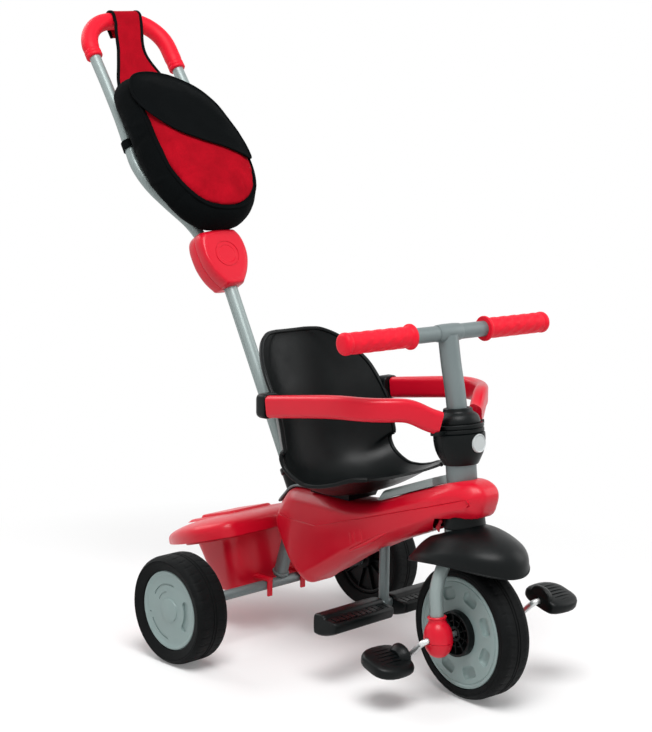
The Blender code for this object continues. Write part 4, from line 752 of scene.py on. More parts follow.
def rear_disc(side_name):
    """The outer cap: a raised middle, curved grooves, a kidney recess and a small hole."""
    side = SIDES[side_name]
    face = REAR_HALF - 0.0075
    name = "rear_disc_outer_" + side_name
    matrix = REAR_SPIN[side_name] @ TO_SIDE[side_name]
    profile = [(0.0, face + 0.0016), (0.0165, face + 0.0014), (0.0180, face + 0.0009),
               (0.0187, face - 0.0006), (0.0200, face - 0.0010), (0.0530, face - 0.0012),
               (0.0555, face - 0.0008), (0.0575, face + 0.0008), (0.0592, face + 0.0014),
               (0.0610, face + 0.0010), (0.0622, face - 0.0004), (0.0622, 0.0010),
               (0.0582, 0.0010), (0.0582, face - 0.0050), (0.0160, face - 0.0050),
               (0.0160, GAP), (0.0118, GAP), (0.0118, 0.0110), (0.0, 0.0110)]
    disc = place(name, turned_mesh(profile, 128), "wheel_plastic", "rear_wheel_" + side_name,
                 matrix, 30.0)

    def mirrored(outline):
        return [(-side * x, y) for x, y in outline]

    def groove(radius, start, end, half_width, depth):
        outline = mirrored(slot_outline(radius, start, end, half_width))
        combine(disc, plate_mesh(outline, face - 0.0011 - depth, face + 0.004))

    groove(0.0405, -12.0, 62.0, 0.0015, 0.0014)
    groove(0.0285, 18.0, 62.0, 0.0011, 0.0010)
    groove(0.0395, -122.0, -68.0, 0.0060, 0.0034)
    groove(0.0470, 118.0, 172.0, 0.0016, 0.0014)
    spot = Matrix.Translation((-side * 0.0490 * math.cos(math.radians(104)),
                               0.0490 * math.sin(math.radians(104)), 0.0))
    combine(disc, moved(plate_mesh(circle(0.0014, 14), face - 0.004, face + 0.004), spot))
    soften(disc, 0.0005, 2, 40.0)


def rear_disc_inner(side_name):
    """The inner cap: ten ribs from the hub to the rim of a black dish."""
    name = "rear_disc_inner_" + side_name
    body = "rear_wheel_" + side_name
    matrix = REAR_SPIN[side_name] @ TO_SIDE["left" if side_name == "right" else "right"]
    face = REAR_HALF - 0.010
    profile = [(0.0048, 0.0280), (0.0120, 0.0280), (0.0150, 0.0272), (0.0160, 0.0255),
               (0.0160, face - 0.006), (0.0545, face - 0.006), (0.0560, face - 0.0010),
               (0.0575, face), (0.0605, face), (0.0618, face - 0.0012), (0.0622, face - 0.0030),
               (0.0622, 0.0010), (0.0582, 0.0010), (0.0582, face - 0.0100),
               (0.0160, face - 0.0100), (0.0160, GAP), (0.0048, GAP)]
    place(name, turned_mesh(profile, 112, True), "black_plastic", body, matrix, 30.0)

    def rib():
        return box_mesh((-0.0205, -0.0010, face - 0.0065), (0.0200, 0.0010, face - 0.0008))

    ribs = round_the_ring(rib, 10, 0.0358)
    soften(place("rear_ribs_" + side_name, ribs, "black_plastic", body, matrix), 0.0004, 2)


for side_name in SIDES:
    front_disc(side_name)
    hub_ring(side_name)
    rear_disc(side_name)
    rear_disc_inner(side_name)


# Fork, axle covers, crank and pedals

PEDAL_BORE = 0.0053
LEG_X = 0.064
LEG_RADIUS = 0.010


def leg_run(side):
    knee = Vector((side * LEG_X, 0.0, 0.072))
    top = Vector((side * 0.021, 0.0, 0.145))
    before = knee - Vector((0.0, 0.0, 0.020))
    after = knee + (top - knee).normalized() * 0.020
    run = [Vector((side * LEG_X, 0.0, 0.008)), Vector((side * LEG_X, 0.0, 0.030))]
    for i in range(15):
        t = i / 14
        run.append(before * (1 - t) ** 2 + knee * 2 * t * (1 - t) + after * t ** 2)
    run.append(top)
    return run


def fork_pieces():
    profile = [(0.0, 0.2665), (0.0095, 0.2665), (0.0110, 0.2650), (0.0110, 0.1520),
               (0.0280, 0.1520), (0.0295, 0.1512), (0.0300, 0.1498), (0.0300, 0.1405),
               (0.0290, 0.1392), (0.0, 0.1390)]
    place("fork_crown", turned_mesh(profile, 72), "light_paint", "steering", STEERING,
          replaced=("fork",))
    for side_name, side in SIDES.items():
        leg = swept_mesh(leg_run(side), circle(LEG_RADIUS, 36), (0.0, 1.0, 0.0))
        place("fork_leg_" + side_name, leg, "light_paint", "steering", STEERING, 50.0,
              replaced=("fork",))


def axle_cover(side_name):
    """The two egg halves: a lipped collar, an oval recess and a slanted joint."""
    side = SIDES[side_name]
    matrix = STEERING @ Matrix.Translation((side * LEG_X, 0.0, 0.0))
    wide = 0.0215
    tall = 0.028
    seam = -0.004
    slant = 0.10
    egg = []
    for i in range(33):
        angle = math.radians(90 - 180 * i / 32)
        bulge = math.cos(angle) ** 0.86
        egg.append((wide * bulge, tall * math.sin(angle)))
    collar = [(0.0103, 0.0076), (0.0103, tall + 0.0040), (0.0112, tall + 0.0046),
              (0.0134, tall + 0.0044), (0.0141, tall + 0.0036), (0.0139, tall + 0.0020),
              (0.0128, tall + 0.0010), (0.0126, tall - 0.0020), (0.0133, tall - 0.0042)]
    shoulder = [(r, z) for r, z in egg if r > 0.0138 and z > seam + 0.0016]
    top = [(0.0, 0.0076)] + collar + shoulder + [(wide * 0.998, seam + 0.0014),
                                                 (wide * 0.990, seam + GAP), (0.0, seam + GAP)]
    bottom = [(0.0, seam - GAP), (wide * 0.990, seam - GAP), (wide * 0.996, seam - 0.0012)]
    bottom += [(r, z) for r, z in egg if z < seam - 0.0014]
    bottom[-1] = (0.0, -tall)

    def leaning(mesh):
        for vertex in mesh.vertices:
            x, y, z = vertex.co
            if abs(z - seam) < 0.0016:
                vertex.co.z = z + slant * y
        return mesh

    hole = rod_mesh(0.0055, (-0.04, 0.0, 0.0), (0.04, 0.0, 0.0), 28)
    upper = place("housing_upper_" + side_name, leaning(turned_mesh(top, 72)), "red_plastic",
                  "steering", matrix, 40.0)
    combine(upper, hole.copy())
    recess = []
    for k in range(24):
        angle = 2 * math.pi * k / 24
        recess.append((0.0042 * math.cos(angle), 0.0062 * math.sin(angle)))
    spot = (Matrix.Rotation(side * math.radians(58), 4, "Z") @ TO_SIDE[side_name]
            @ Matrix.Translation((side * 0.012, 0.0, 0.0)) @ Matrix.Rotation(math.pi / 2, 4, "Z"))
    combine(upper, moved(plate_mesh(recess, 0.0160, 0.030), spot))
    soften(upper, 0.0004, 2, 42.0)
    lower = place("housing_lower_" + side_name, leaning(turned_mesh(bottom, 72)), "red_plastic",
                  "steering", matrix, 40.0)
    combine(lower, hole)


CRANK_ARM_X = 0.0925
CRANK_REACH = 0.048
CRANK_ANGLE = math.radians(-138)
PEDAL_START = 0.1015
PEDAL_LENGTH = 0.062


def crank_spot(side, x, reach):
    angle = CRANK_ANGLE if side < 0 else CRANK_ANGLE + math.pi
    return Vector((side * x, -reach * math.cos(angle), reach * math.sin(angle)))


def crank():
    corner = 0.008
    half_run = [(0.0, 0.0), (0.060, 0.0)]
    for i in range(9):
        angle = math.radians(90 * i / 8)
        half_run.append((CRANK_ARM_X - corner + corner * math.sin(angle),
                         corner - corner * math.cos(angle)))
    for i in range(9):
        angle = math.radians(90 * i / 8)
        half_run.append((CRANK_ARM_X + corner - corner * math.cos(angle),
                         CRANK_REACH - corner + corner * math.sin(angle)))
    half_run.append((PEDAL_START + PEDAL_LENGTH - 0.004, CRANK_REACH))
    right = [crank_spot(-1.0, x, reach) for x, reach in reversed(half_run)]
    left = [crank_spot(1.0, x, reach) for x, reach in half_run[1:]]
    across = crank_spot(1.0, 0.0, 1.0).cross(Vector((1.0, 0.0, 0.0)))
    place("crank_rod", swept_mesh(right + left, circle(0.0045, 24), across), "steel", "front_wheel",
          SPIN, 60.0)


def pedal(side_name):
    """A rounded block: slatted faces and a raised ear at the crank."""
    side = SIDES[side_name]
    body = "pedal_" + side_name
    spot = crank_spot(side, 0.0, CRANK_REACH)
    matrix = SPIN @ Matrix.Translation((0.0, spot.y, spot.z)) @ Matrix.Rotation(0.25, 4, "X")
    half_width = 0.036
    half_height = 0.011
    rings = []
    stations = ((0.0, 0.66, 0.70), (0.012, 0.76, 0.84), (0.05, 0.86, 0.95), (0.16, 0.94, 1.0),
                (0.34, 0.99, 0.99), (0.52, 1.0, 0.97), (0.68, 0.96, 0.94), (0.80, 0.87, 0.90),
                (0.89, 0.75, 0.84), (0.95, 0.62, 0.75), (0.985, 0.50, 0.63), (1.0, 0.36, 0.48))
    for share, width, height in stations:
        x = side * (PEDAL_START + PEDAL_LENGTH * share)
        ring = []
        for i in range(48):
            angle = 2 * math.pi * i / 48
            away = math.copysign(abs(math.cos(angle)) ** 0.55, math.cos(angle))
            up = math.copysign(abs(math.sin(angle)) ** 0.62, math.sin(angle))
            ring.append((x, half_width * width * away, half_height * height * up))
        rings.append(ring)
    block = place("pedal_" + side_name, loft_mesh(rings), "black_plastic", body, matrix, 45.0)
    middle = side * (PEDAL_START + PEDAL_LENGTH * 0.54)
    slots = []
    for row in range(-3, 4):
        reach = 0.0235 * (1 - (row / 4.3) ** 2)
        y = row * 0.0078
        outline = []
        for k in range(21):
            t = k / 20 * 2 - 1
            outline.append((middle + reach * t, y + 0.0019 * (1 - t * t)))
        for k in range(1, 20):
            t = 1 - k / 20 * 2
            outline.append((middle + reach * t, y - 0.0019 * (1 - t * t)))
        for face in (1.0, -1.0):
            low = half_height * 0.88 * face
            high = half_height * 1.3 * face
            slots.append(plate_mesh(outline, min(low, high), max(low, high)))
    combine(block, join_meshes(slots))
    bore_end = (side * (PEDAL_START + 0.058), 0, 0)
    combine(block, rod_mesh(PEDAL_BORE, (side * 0.09, 0, 0), bore_end, 28))
    soften(block, 0.0006, 2, 45.0)
    outline = []
    for k in range(33):
        angle = math.pi * k / 32
        outline.append((0.0205 * math.cos(angle), 0.0190 * math.sin(angle) ** 0.8))
    ear = loft_mesh([[(side * (PEDAL_START + x), y * size, 0.004 + z * size) for y, z in outline]
                     for x, size in ((0.0004, 0.93), (0.0020, 1.0), (0.0060, 0.98),
                                     (0.0110, 0.86), (0.0160, 0.62))])
    ear = place("pedal_ear_" + side_name, ear, "black_plastic", body, matrix, 50.0)
    combine(ear, rod_mesh(PEDAL_BORE, (side * 0.09, 0, 0), (side * 0.13, 0, 0), 28))
    soften(ear, 0.0008, 2, 45.0)


fork_pieces()
crank()
for side_name in SIDES:
    axle_cover(side_name)
    pedal(side_name)


# Fender, sleeve and steering toggle

# Share of the way from the sleeve to the rim, height in front, height behind
HOOD = ((0.00, 0.99, 0.72), (0.06, 0.975, 0.705), (0.14, 0.950, 0.690), (0.35, 0.862, 0.640),
        (0.62, 0.722, 0.440), (0.83, 0.570, 0.205), (0.93, 0.455, 0.110), (0.98, 0.335, 0.055),
        (1.00, 0.215, 0.030), (1.00, 0.110, 0.015), (1.00, 0.000, 0.000))
HOOD_HALF_WIDTH = 0.069
HOOD_FRONT = 0.108
HOOD_REAR = 0.116
HOOD_TOP = 0.1575
SLEEVE_HOLE = 0.0318


def hood_point(angle, share, front_height, rear_height, outwards=0.0):
    forward = math.cos(angle)
    across = math.sin(angle)
    reach = HOOD_FRONT if forward > 0 else HOOD_REAR
    taper = 1.0 if forward > 0 else 1.0 - 0.30 * forward * forward
    rim_x = (HOOD_HALF_WIDTH + outwards) * across * taper
    rim_y = -(reach + outwards) * forward
    x = SLEEVE_HOLE * across * (1 - share) + rim_x * share
    y = -SLEEVE_HOLE * forward * (1 - share) + rim_y * share
    droop = 0.021 * forward ** 2 if forward > 0 else 0.018 * forward ** 2
    rim_z = 0.110 - droop
    frontness = (1 + forward) / 2
    height = front_height * frontness + rear_height * (1 - frontness)
    return (x, y, rim_z + (HOOD_TOP - rim_z) * height)


def fender():
    """A leaf-shaped hood with a rolled lip along its edge."""
    sides = 96
    stations = smooth_run([Vector(row) for row in HOOD[:-1]], 2) + [Vector(HOOD[-1])]
    rings = []
    for share, front_height, rear_height in stations:
        rings.append([hood_point(2 * math.pi * i / sides, min(share, 1.0), front_height,
                                 rear_height) for i in range(sides)])
    made = place("fender", loft_mesh(rings, False, False), "black_plastic", "steering", STEERING,
                 60.0)
    thicken(made, 0.0024, -1.0)
    bake(made, 50.0)
    rim = [Vector(hood_point(2 * math.pi * i / sides, 1.0, 0.012, 0.002)) for i in range(sides)]
    section = [(0.0009 * x, 0.0013 * y) for x, y in circle(1.0, 10)]
    lip_rings = []
    for i, here in enumerate(rim):
        ahead = (rim[(i + 1) % sides] - rim[i - 1]).normalized()
        side = ahead.cross(Vector((0.0, 0.0, 1.0))).normalized()
        top = side.cross(ahead)
        lip_rings.append([here + side * x + top * y for x, y in section])
    lip_rings.append(lip_rings[0])
    lip = loft_mesh(lip_rings, False, False)
    place("fender_lip", lip, "black_plastic", "steering", STEERING, 60.0)


def crown_sleeve():
    """The sleeve under the body, flared where it meets the hood."""
    profile = [(0.0113, 0.1713), (0.0292, 0.1713), (0.0302, 0.1709), (0.0306, 0.1698),
               (0.0304, 0.1650), (0.0306, 0.1600), (0.0309, 0.1570), (0.0310, 0.1535),
               (0.0307, 0.1524), (0.0113, 0.1524)]
    place("crown_sleeve", turned_mesh(profile, 96, True), "black_plastic", "steering", STEERING,
          40.0)


def toggle():
    """The small red lever: a tapered drop."""
    around = math.radians(230)
    out = 0.031 + GAP
    spot = (out * math.sin(around), -out * math.cos(around), 0.163)
    matrix = (STEERING @ Matrix.Translation(spot) @ Matrix.Rotation(around - math.pi / 2, 4, "Z")
              @ Matrix.Rotation(math.pi / 2, 4, "X"))
    outline = smooth_loop([(0.0013, 0.0026), (0.0048, 0.0028), (0.0068, -0.0020),
                           (0.0106, -0.0088), (0.0090, -0.0138), (0.0062, -0.0166),
                           (0.0046, -0.0118), (0.0032, -0.0042), (0.0011, -0.0028),
                           (0.0002, 0.0)], 5)
    rings = []
    for height, size in ((-0.0025, 0.80), (-0.0019, 0.95), (-0.0008, 1.0), (0.0008, 1.0),
                         (0.0019, 0.95), (0.0025, 0.80)):
        rings.append([(0.0052 + (x - 0.0052) * size, -0.006 + (y + 0.006) * size, height)
                      for x, y in outline])
    place("steering_toggle", loft_mesh(rings), "red_plastic", "toggle", matrix, 60.0)


# Head, stem, bar, grips and collar

BAR_Y = 0.011
BAR_Z = 0.436
BAR_RADIUS = 0.0115
BAR_HALF = 0.185
HEAD_BORE = 0.0228
BADGE_Z = 0.2765
ARM_GROOVE_Z = 0.2910


def head_pieces():
    tube = [(0.0186, 0.2620), (0.0215, 0.2620), (0.0225, 0.2612), (0.0225, 0.1790),
            (0.0217, 0.1780), (0.0186, 0.1780)]
    place("head_tube", turned_mesh(tube, 80, True), "frame_paint", "chassis", HEAD, 40.0)
    run = smooth_run([(0, 0, 0.2670), (0, 0, 0.300), (0, 0.003, 0.350), (0, 0.008, 0.390),
                      (0, BAR_Y, BAR_Z - 0.004)], 8)
    stem = place("stem", swept_mesh(run, circle(0.015, 48), (0.0, 1.0, 0.0)), "frame_paint",
                 "steering", STEERING, 50.0)
    half_sleeve = [(0.0, 0.022), (0.0121, 0.022), (0.0124, 0.0212), (0.0128, 0.0170),
                   (0.0133, 0.0100)]
    sleeve = half_sleeve + [(radius, -along) for radius, along in reversed(half_sleeve)]
    at_bar = Matrix.Translation((0.0, BAR_Y, BAR_Z)) @ Matrix.Rotation(math.pi / 2, 4, "Y")
    solid = moved(turned_mesh(sleeve, 64), at_bar)
    combine(stem, solid, "UNION")
    combine(stem, rod_mesh(BAR_RADIUS + GAP, (-0.04, BAR_Y, BAR_Z), (0.04, BAR_Y, BAR_Z), 48))
    bar = rod_mesh(BAR_RADIUS, (-BAR_HALF, BAR_Y, BAR_Z), (BAR_HALF, BAR_Y, BAR_Z), 48)
    place("crossbar", bar, "frame_paint", "steering", STEERING, 60.0)


GRIP_RADIUS = 0.0152
GRIP_SIDES = 96


def grip_warp(first, last):
    """Slanted ribs round the part of the grip between two heights."""
    def warp(out, up, i):
        if not first <= up <= last or out < GRIP_RADIUS - 0.0008:
            return out, up
        turn = 2 * math.pi * i / GRIP_SIDES
        fade = min(1.0, (up - first) / 0.006, (last - up) / 0.006)
        wave = math.sin(turn * 6 + up * 300.0) + 0.4 * math.sin(turn * 6 - up * 300.0)
        return out + 0.00042 * fade * max(-0.5, min(1.0, wave * 1.5)), up
    return warp


def grip(side_name):
    """A moulded grip: a flange, slanted ribs and a round bumper on its end."""
    side = SIDES[side_name]
    floor = BAR_HALF + GAP
    end = floor + 0.011
    start = floor - 0.115
    outer = [(0.0, end), (0.0090, end), (0.0122, end - 0.0007), (0.0146, end - 0.0022),
             (0.0159, end - 0.0045), (0.0161, end - 0.0070), (0.0158, end - 0.0100),
             (0.0149, end - 0.0116), (0.0149, end - 0.0124), (GRIP_RADIUS, end - 0.0136)]
    first = start + 0.0120
    last = end - 0.0150
    for row in range(65):
        outer.append((GRIP_RADIUS, last - (last - first) * row / 64))
    outer += [(0.0151, start + 0.0098), (0.0153, start + 0.0070), (0.0168, start + 0.0050),
              (0.0182, start + 0.0042), (0.0187, start + 0.0034), (0.0187, start + 0.0010),
              (0.0181, start), (0.0118, start), (0.0118, floor), (0.0, floor)]
    matrix = STEERING @ Matrix.Translation((0.0, BAR_Y, BAR_Z)) @ TO_SIDE[side_name]
    mesh = turned_mesh(outer, GRIP_SIDES, warp=grip_warp(first, last))
    place("grip_" + side_name, mesh, "red_rubber", "steering", matrix, 50.0)


def collar():
    """The moulded collar in its two halves, with the seat of the disc cut in its front."""
    profile = [(0.0166, 0.3270), (0.0196, 0.3270), (0.0208, 0.3264), (0.0213, 0.3250),
               (0.0216, 0.3225), (0.0232, 0.3204), (0.0258, 0.3190), (0.0285, 0.3165),
               (0.0305, 0.3130), (0.0318, 0.3092), (0.0320, 0.3056), (0.0318, 0.3050),
               (0.0285, 0.3049), (0.0285, 0.2910), (0.0364, 0.2910), (0.0376, 0.2902),
               (0.0380, 0.2886), (0.0380, 0.2810), (0.0374, 0.2740), (0.0360, 0.2670),
               (0.0335, 0.2600), (0.0302, 0.2535), (0.0275, 0.2482), (0.0262, 0.2458),
               (0.0254, 0.2447), (0.0229, 0.2445), (0.0229, 0.2655), (0.0166, 0.2655)]
    whole = turned_mesh(profile, 96, True)
    far = 0.06
    for name, low, high in (("collar_front", (-far, -far, 0.2), (far, -GAP / 2, 0.36)),
                            ("collar_rear", (-far, GAP / 2, 0.2), (far, far, 0.36))):
        half = place(name, whole.copy(), "black_plastic", "chassis", HEAD, 40.0)
        combine(half, box_mesh(low, high), "INTERSECT")
        if name == "collar_front":
            combine(half, rod_mesh(0.0141, (0, -0.060, BADGE_Z), (0, -0.0352, BADGE_Z), 56))
        soften(half, 0.0005, 2, 45.0)
    disc = [(0.0, 0.0036), (0.0060, 0.0035), (0.0100, 0.0032), (0.0112, 0.0031),
            (0.0117, 0.0038), (0.0126, 0.0041), (0.0133, 0.0036), (0.0135, 0.0026),
            (0.0135, 0.0), (0.0, 0.0)]
    matrix = (HEAD @ Matrix.Translation((0.0, -0.0347, BADGE_Z))
              @ Matrix.Rotation(math.pi / 2, 4, "X"))
    place("badge_disc", turned_mesh(disc, 72), "silver", "chassis", matrix, 40.0)


# Safety arms

ARM_X = 0.136
ARM_REAR_Y = -0.119
ARM_REAR_Z = 0.4085
ARM_SLOPE = 0.135
ARM_CORNER_Y = -0.262
ARM_CORNER_RADIUS = 0.090
ARM_CORNER_ANGLE = math.radians(58)
ARM_END_Z = 0.4075


def arm_run(side):
    run = []
    for k in range(9):
        y = ARM_REAR_Y + (ARM_CORNER_Y - ARM_REAR_Y) * k / 8
        run.append(Vector((ARM_X, y, ARM_REAR_Z - (y - ARM_REAR_Y) * ARM_SLOPE)))
    top = run[-1].z
    centre_x = ARM_X - ARM_CORNER_RADIUS
    for k in range(1, 19):
        angle = ARM_CORNER_ANGLE * k / 18
        run.append(Vector((centre_x + ARM_CORNER_RADIUS * math.cos(angle),
                           ARM_CORNER_Y - ARM_CORNER_RADIUS * math.sin(angle), top)))
    corner = run[-1].copy()
    heading = Vector((-math.sin(ARM_CORNER_ANGLE), -math.cos(ARM_CORNER_ANGLE), 0.0))
    for k in range(1, 17):
        share = k / 16
        late = max(0.0, (share - 0.18) / 0.82)
        fall = 3 * late ** 2 - 2 * late ** 3
        spot = corner + heading * (0.064 * share)
        spot.z = top + (ARM_END_Z - top) * fall
        run.append(spot)
    for k in range(12):
        run = [run[0]] + [(run[i - 1] + run[i] * 2 + run[i + 1]) / 4
                          for i in range(1, len(run) - 1)] + [run[-1]]
    return [Vector((side * p.x, p.y, p.z)) for p in run]


def safety_arm(side_name):
    """A thick rounded rail that comes round the rider, and its black knuckle in the collar."""
    side = SIDES[side_name]
    body = "safety_arm_" + side_name
    run = arm_run(side)
    section = rounded_box(0.010, 0.017, 0.0078, 6)
    rail = swept_mesh(run, section)
    rail.transform(HEAD.inverted() @ CHASSIS)
    made = place("safety_arm_" + side_name, rail, "red_plastic", body, HEAD, 50.0)
    low = ARM_GROOVE_Z + GAP + (0.0068 if side > 0 else 0.0)
    high = low + 0.0065
    combine(made, rod_mesh(0.0390, (0, 0, 0.24), (0, 0, 0.40), 72))
    soften(made, 0.0018, 3, 48.0)
    ring = [(0.0288, low), (0.0288, high), (0.0358, high), (0.0370, high - 0.0012),
            (0.0370, low + 0.0012), (0.0358, low)]
    knuckle = place("arm_knuckle_" + side_name, turned_mesh(ring, 96, True), "black_plastic", body,
                    HEAD, 40.0, replaced=(body,))
    near = side * 0.033
    far = side * 0.051
    lug = box_mesh((min(near, far), -0.0060, low + GAP), (max(near, far), 0.0100, high - GAP))
    combine(knuckle, lug, "UNION")
    soften(knuckle, 0.0008, 2, 48.0)


# Seat

SEAT = ((-0.272, 0.311, 0.082, 0.004), (-0.256, 0.304, 0.098, 0.010),
        (-0.231, 0.289, 0.108, 0.016), (-0.200, 0.276, 0.115, 0.022),
        (-0.165, 0.269, 0.118, 0.030), (-0.120, 0.271, 0.120, 0.050),
        (-0.085, 0.288, 0.120, 0.070), (-0.062, 0.325, 0.120, 0.078),
        (-0.046, 0.376, 0.119, 0.078), (-0.032, 0.430, 0.114, 0.058),
        (-0.0245, 0.462, 0.101, 0.039),
        (-0.0190, 0.485, 0.083, 0.024), (-0.0163, 0.497, 0.064, 0.014),
        (-0.0150, 0.5015, 0.046, 0.007), (-0.0146, 0.5030, 0.030, 0.003))


def seat_rows(steps):
    rows = smooth_run([Vector(row) for row in SEAT], steps)
    found = []
    for i, (y, z, half, rise) in enumerate(rows):
        before = rows[max(i - 1, 0)]
        after = rows[min(i + 1, len(rows) - 1)]
        run = Vector((after[0] - before[0], after[1] - before[1])).normalized()
        found.append((y, z, half, rise, Vector((0.0, -run.y, run.x))))
    return found


def seat():
    """A moulded bucket: dished pan and back, a rolled edge and two arm cups."""
    across = 48
    rows = seat_rows(6)
    total = len(rows) - 1

    def build(shape):
        grid = []
        for i, (y, z, half, rise, normal) in enumerate(rows):
            line = []
            for k in range(across + 1):
                v = 2 * k / across - 1
                lift = rise * abs(v) ** 2.4
                share = i / total
                pan = math.exp(-((share - 0.26) / 0.11) ** 4)
                back = math.exp(-((share - 0.76) / 0.13) ** 4)
                panel = 1.0 / (1.0 + math.exp((abs(v) - 0.62) * 40.0))
                lift -= 0.0018 * panel * (pan + back)
                line.append(shape.verts.new(Vector((half * v, y, z)) + normal * lift))
            grid.append(line)
        for row, following in zip(grid, grid[1:]):
            for k in range(across):
                shape.faces.new((row[k], row[k + 1], following[k + 1], following[k]))

    mesh = mesh_of(build)
    pan_face = min(mesh.polygons, key=lambda face: face.center.y)
    if pan_face.normal.z < 0:
        mesh.flip_normals()
    made = place("seat_shell", mesh, "black_plastic", "chassis", CHASSIS, 50.0)
    thicken(made, 0.004, -1.0)
    bake(made, 50.0)
    rear = ARM_REAR_Y + ARM_SLOPE * 0.017 + GAP
    for side in SIDES.values():
        middle = side * (ARM_X - 0.0045)
        cup = []
        for y, size in ((0.0, 0.93), (0.0012, 0.98), (0.0030, 1.0), (0.014, 1.0), (0.0180, 0.95),
                        (0.0200, 0.86)):
            outline = rounded_box(0.0155 * size, 0.019 * size, 0.0075 * size, 5)
            cup.append([(middle + x, rear + y, ARM_REAR_Z + z) for x, z in outline])
        combine(made, loft_mesh(cup), "UNION")
    soften(made, 0.0015, 3, 50.0)
    rim = []
    for i, (y, z, half, rise, normal) in enumerate(rows):
        rim.append(Vector((half, y, z)) + normal * (rise - 0.002))
    tail = rows[-1]
    for k in range(15, -16, -1):
        v = k / 16
        lift = tail[3] * abs(v) ** 2.4 - 0.002
        rim.append(Vector((tail[2] * v, tail[0], tail[1])) + tail[4] * lift)
    for i in range(total, -1, -1):
        y, z, half, rise, normal = rows[i]
        rim.append(Vector((-half, y, z)) + normal * (rise - 0.002))
    edge = swept_mesh(rim, rounded_box(0.0034, 0.0034, 0.0030, 3), (0.3, -0.5, 0.8))
    place("seat_edge", edge, "black_plastic", "chassis", CHASSIS, 50.0)


for build_piece in (fender, crown_sleeve, toggle, head_pieces, collar, seat):
    build_piece()
for side_name in SIDES:
    grip(side_name)
    safety_arm(side_name)


# Body

BODY = ((-0.392, 0.261), (-0.427, 0.272), (-0.437, 0.288), (-0.4405, 0.305), (-0.432, 0.318),
        (-0.412, 0.324), (-0.385, 0.321), (-0.361, 0.312), (-0.300, 0.290), (-0.242, 0.268),
        (-0.190, 0.257), (-0.140, 0.257), (-0.095, 0.257), (-0.050, 0.254), (-0.026, 0.2345),
        (-0.015, 0.2215), (-0.006, 0.205), (-0.004, 0.186), (-0.034, 0.152), (-0.060, 0.125),
        (-0.090, 0.106), (-0.112, 0.118), (-0.150, 0.141), (-0.191, 0.167), (-0.228, 0.186),
        (-0.265, 0.205), (-0.330, 0.233))
# The y of each flute, its lower and upper end, and its depth
FLUTES = ((-0.2015, 0.1900, 0.2160, 0.0025), (-0.2110, 0.1925, 0.2190, 0.0023),
          (-0.2250, 0.2000, 0.2230, 0.0031))
STRUT_FOOT = (0.0, 0.005, 0.0945)
STRUT_TOP = (0.0, -0.036, 0.222)
STRUT_RADIUS = 0.0115
SOCKET_RADIUS = 0.0165
POST_Y = -0.231
POST_RADIUS = 0.008
CLIP_BORE = 0.0083
CROSS_Z = 0.100


def inset(outline, distance):
    """The outline moved inwards, or outwards for a negative distance."""
    shifted = []
    count = len(outline)
    for i in range(count):
        before = Vector(outline[i - 1])
        here = Vector(outline[i])
        after = Vector(outline[(i + 1) % count])
        first = (here - before).normalized()
        second = (after - here).normalized()
        inward = Vector((first.y + second.y, -first.x - second.x)).normalized()
        stretch = max(inward.dot(Vector((first.y, -first.x))), 0.5)
        shifted.append(here + inward * distance / stretch)
    return shifted


def score(shape, start, end, depth, fade):
    """A V-shaped line across the skin in the plane through two points and the X axis."""
    start = Vector((0.0, *start))
    end = Vector((0.0, *end))
    along = (end - start).normalized()
    normal = Vector((0.0, -along.z, along.y))
    length = (end - start).length
    for offset in (-0.0007, 0.0, 0.0007):
        geometry = shape.verts[:] + shape.edges[:] + shape.faces[:]
        bmesh.ops.bisect_plane(shape, geom=geometry, dist=0.00001,
                               plane_co=start + normal * offset, plane_no=normal)
    shape.normal_update()
    for vertex in shape.verts:
        away = (vertex.co - start).dot(normal)
        run = (vertex.co - start).dot(along)
        if abs(away) > 0.00002 or abs(vertex.co.x) < 0.002:
            continue
        amount = min(1.0, max(0.0, run / fade)) * min(1.0, max(0.0, (length - run) / fade))
        vertex.co -= vertex.normal * depth * amount


TAPER_FRONT = -0.36
TAPER_REAR = -0.07


def body_taper(y):
    """The body narrows towards its nose and towards the handle's socket."""
    if y < TAPER_FRONT:
        return 1.0 - 0.38 * min(1.0, (TAPER_FRONT - y) / 0.08) ** 1.3
    if y > TAPER_REAR:
        return 1.0 - 0.44 * min(1.0, (y - TAPER_REAR) / 0.066) ** 1.5
    return 1.0


def taper_shape(shape):
    """Cuts the skin across at close steps where it narrows, and narrows it."""
    steps = [TAPER_FRONT - 0.005 * k for k in range(16)]
    steps += [TAPER_REAR + 0.005 * k for k in range(14)]
    for y in steps:
        geometry = shape.verts[:] + shape.edges[:] + shape.faces[:]
        bmesh.ops.bisect_plane(shape, geom=geometry, dist=0.0001, plane_co=(0.0, y, 0.0),
                               plane_no=(0.0, 1.0, 0.0))
    for vertex in shape.verts:
        vertex.co.x *= body_taper(vertex.co.y)


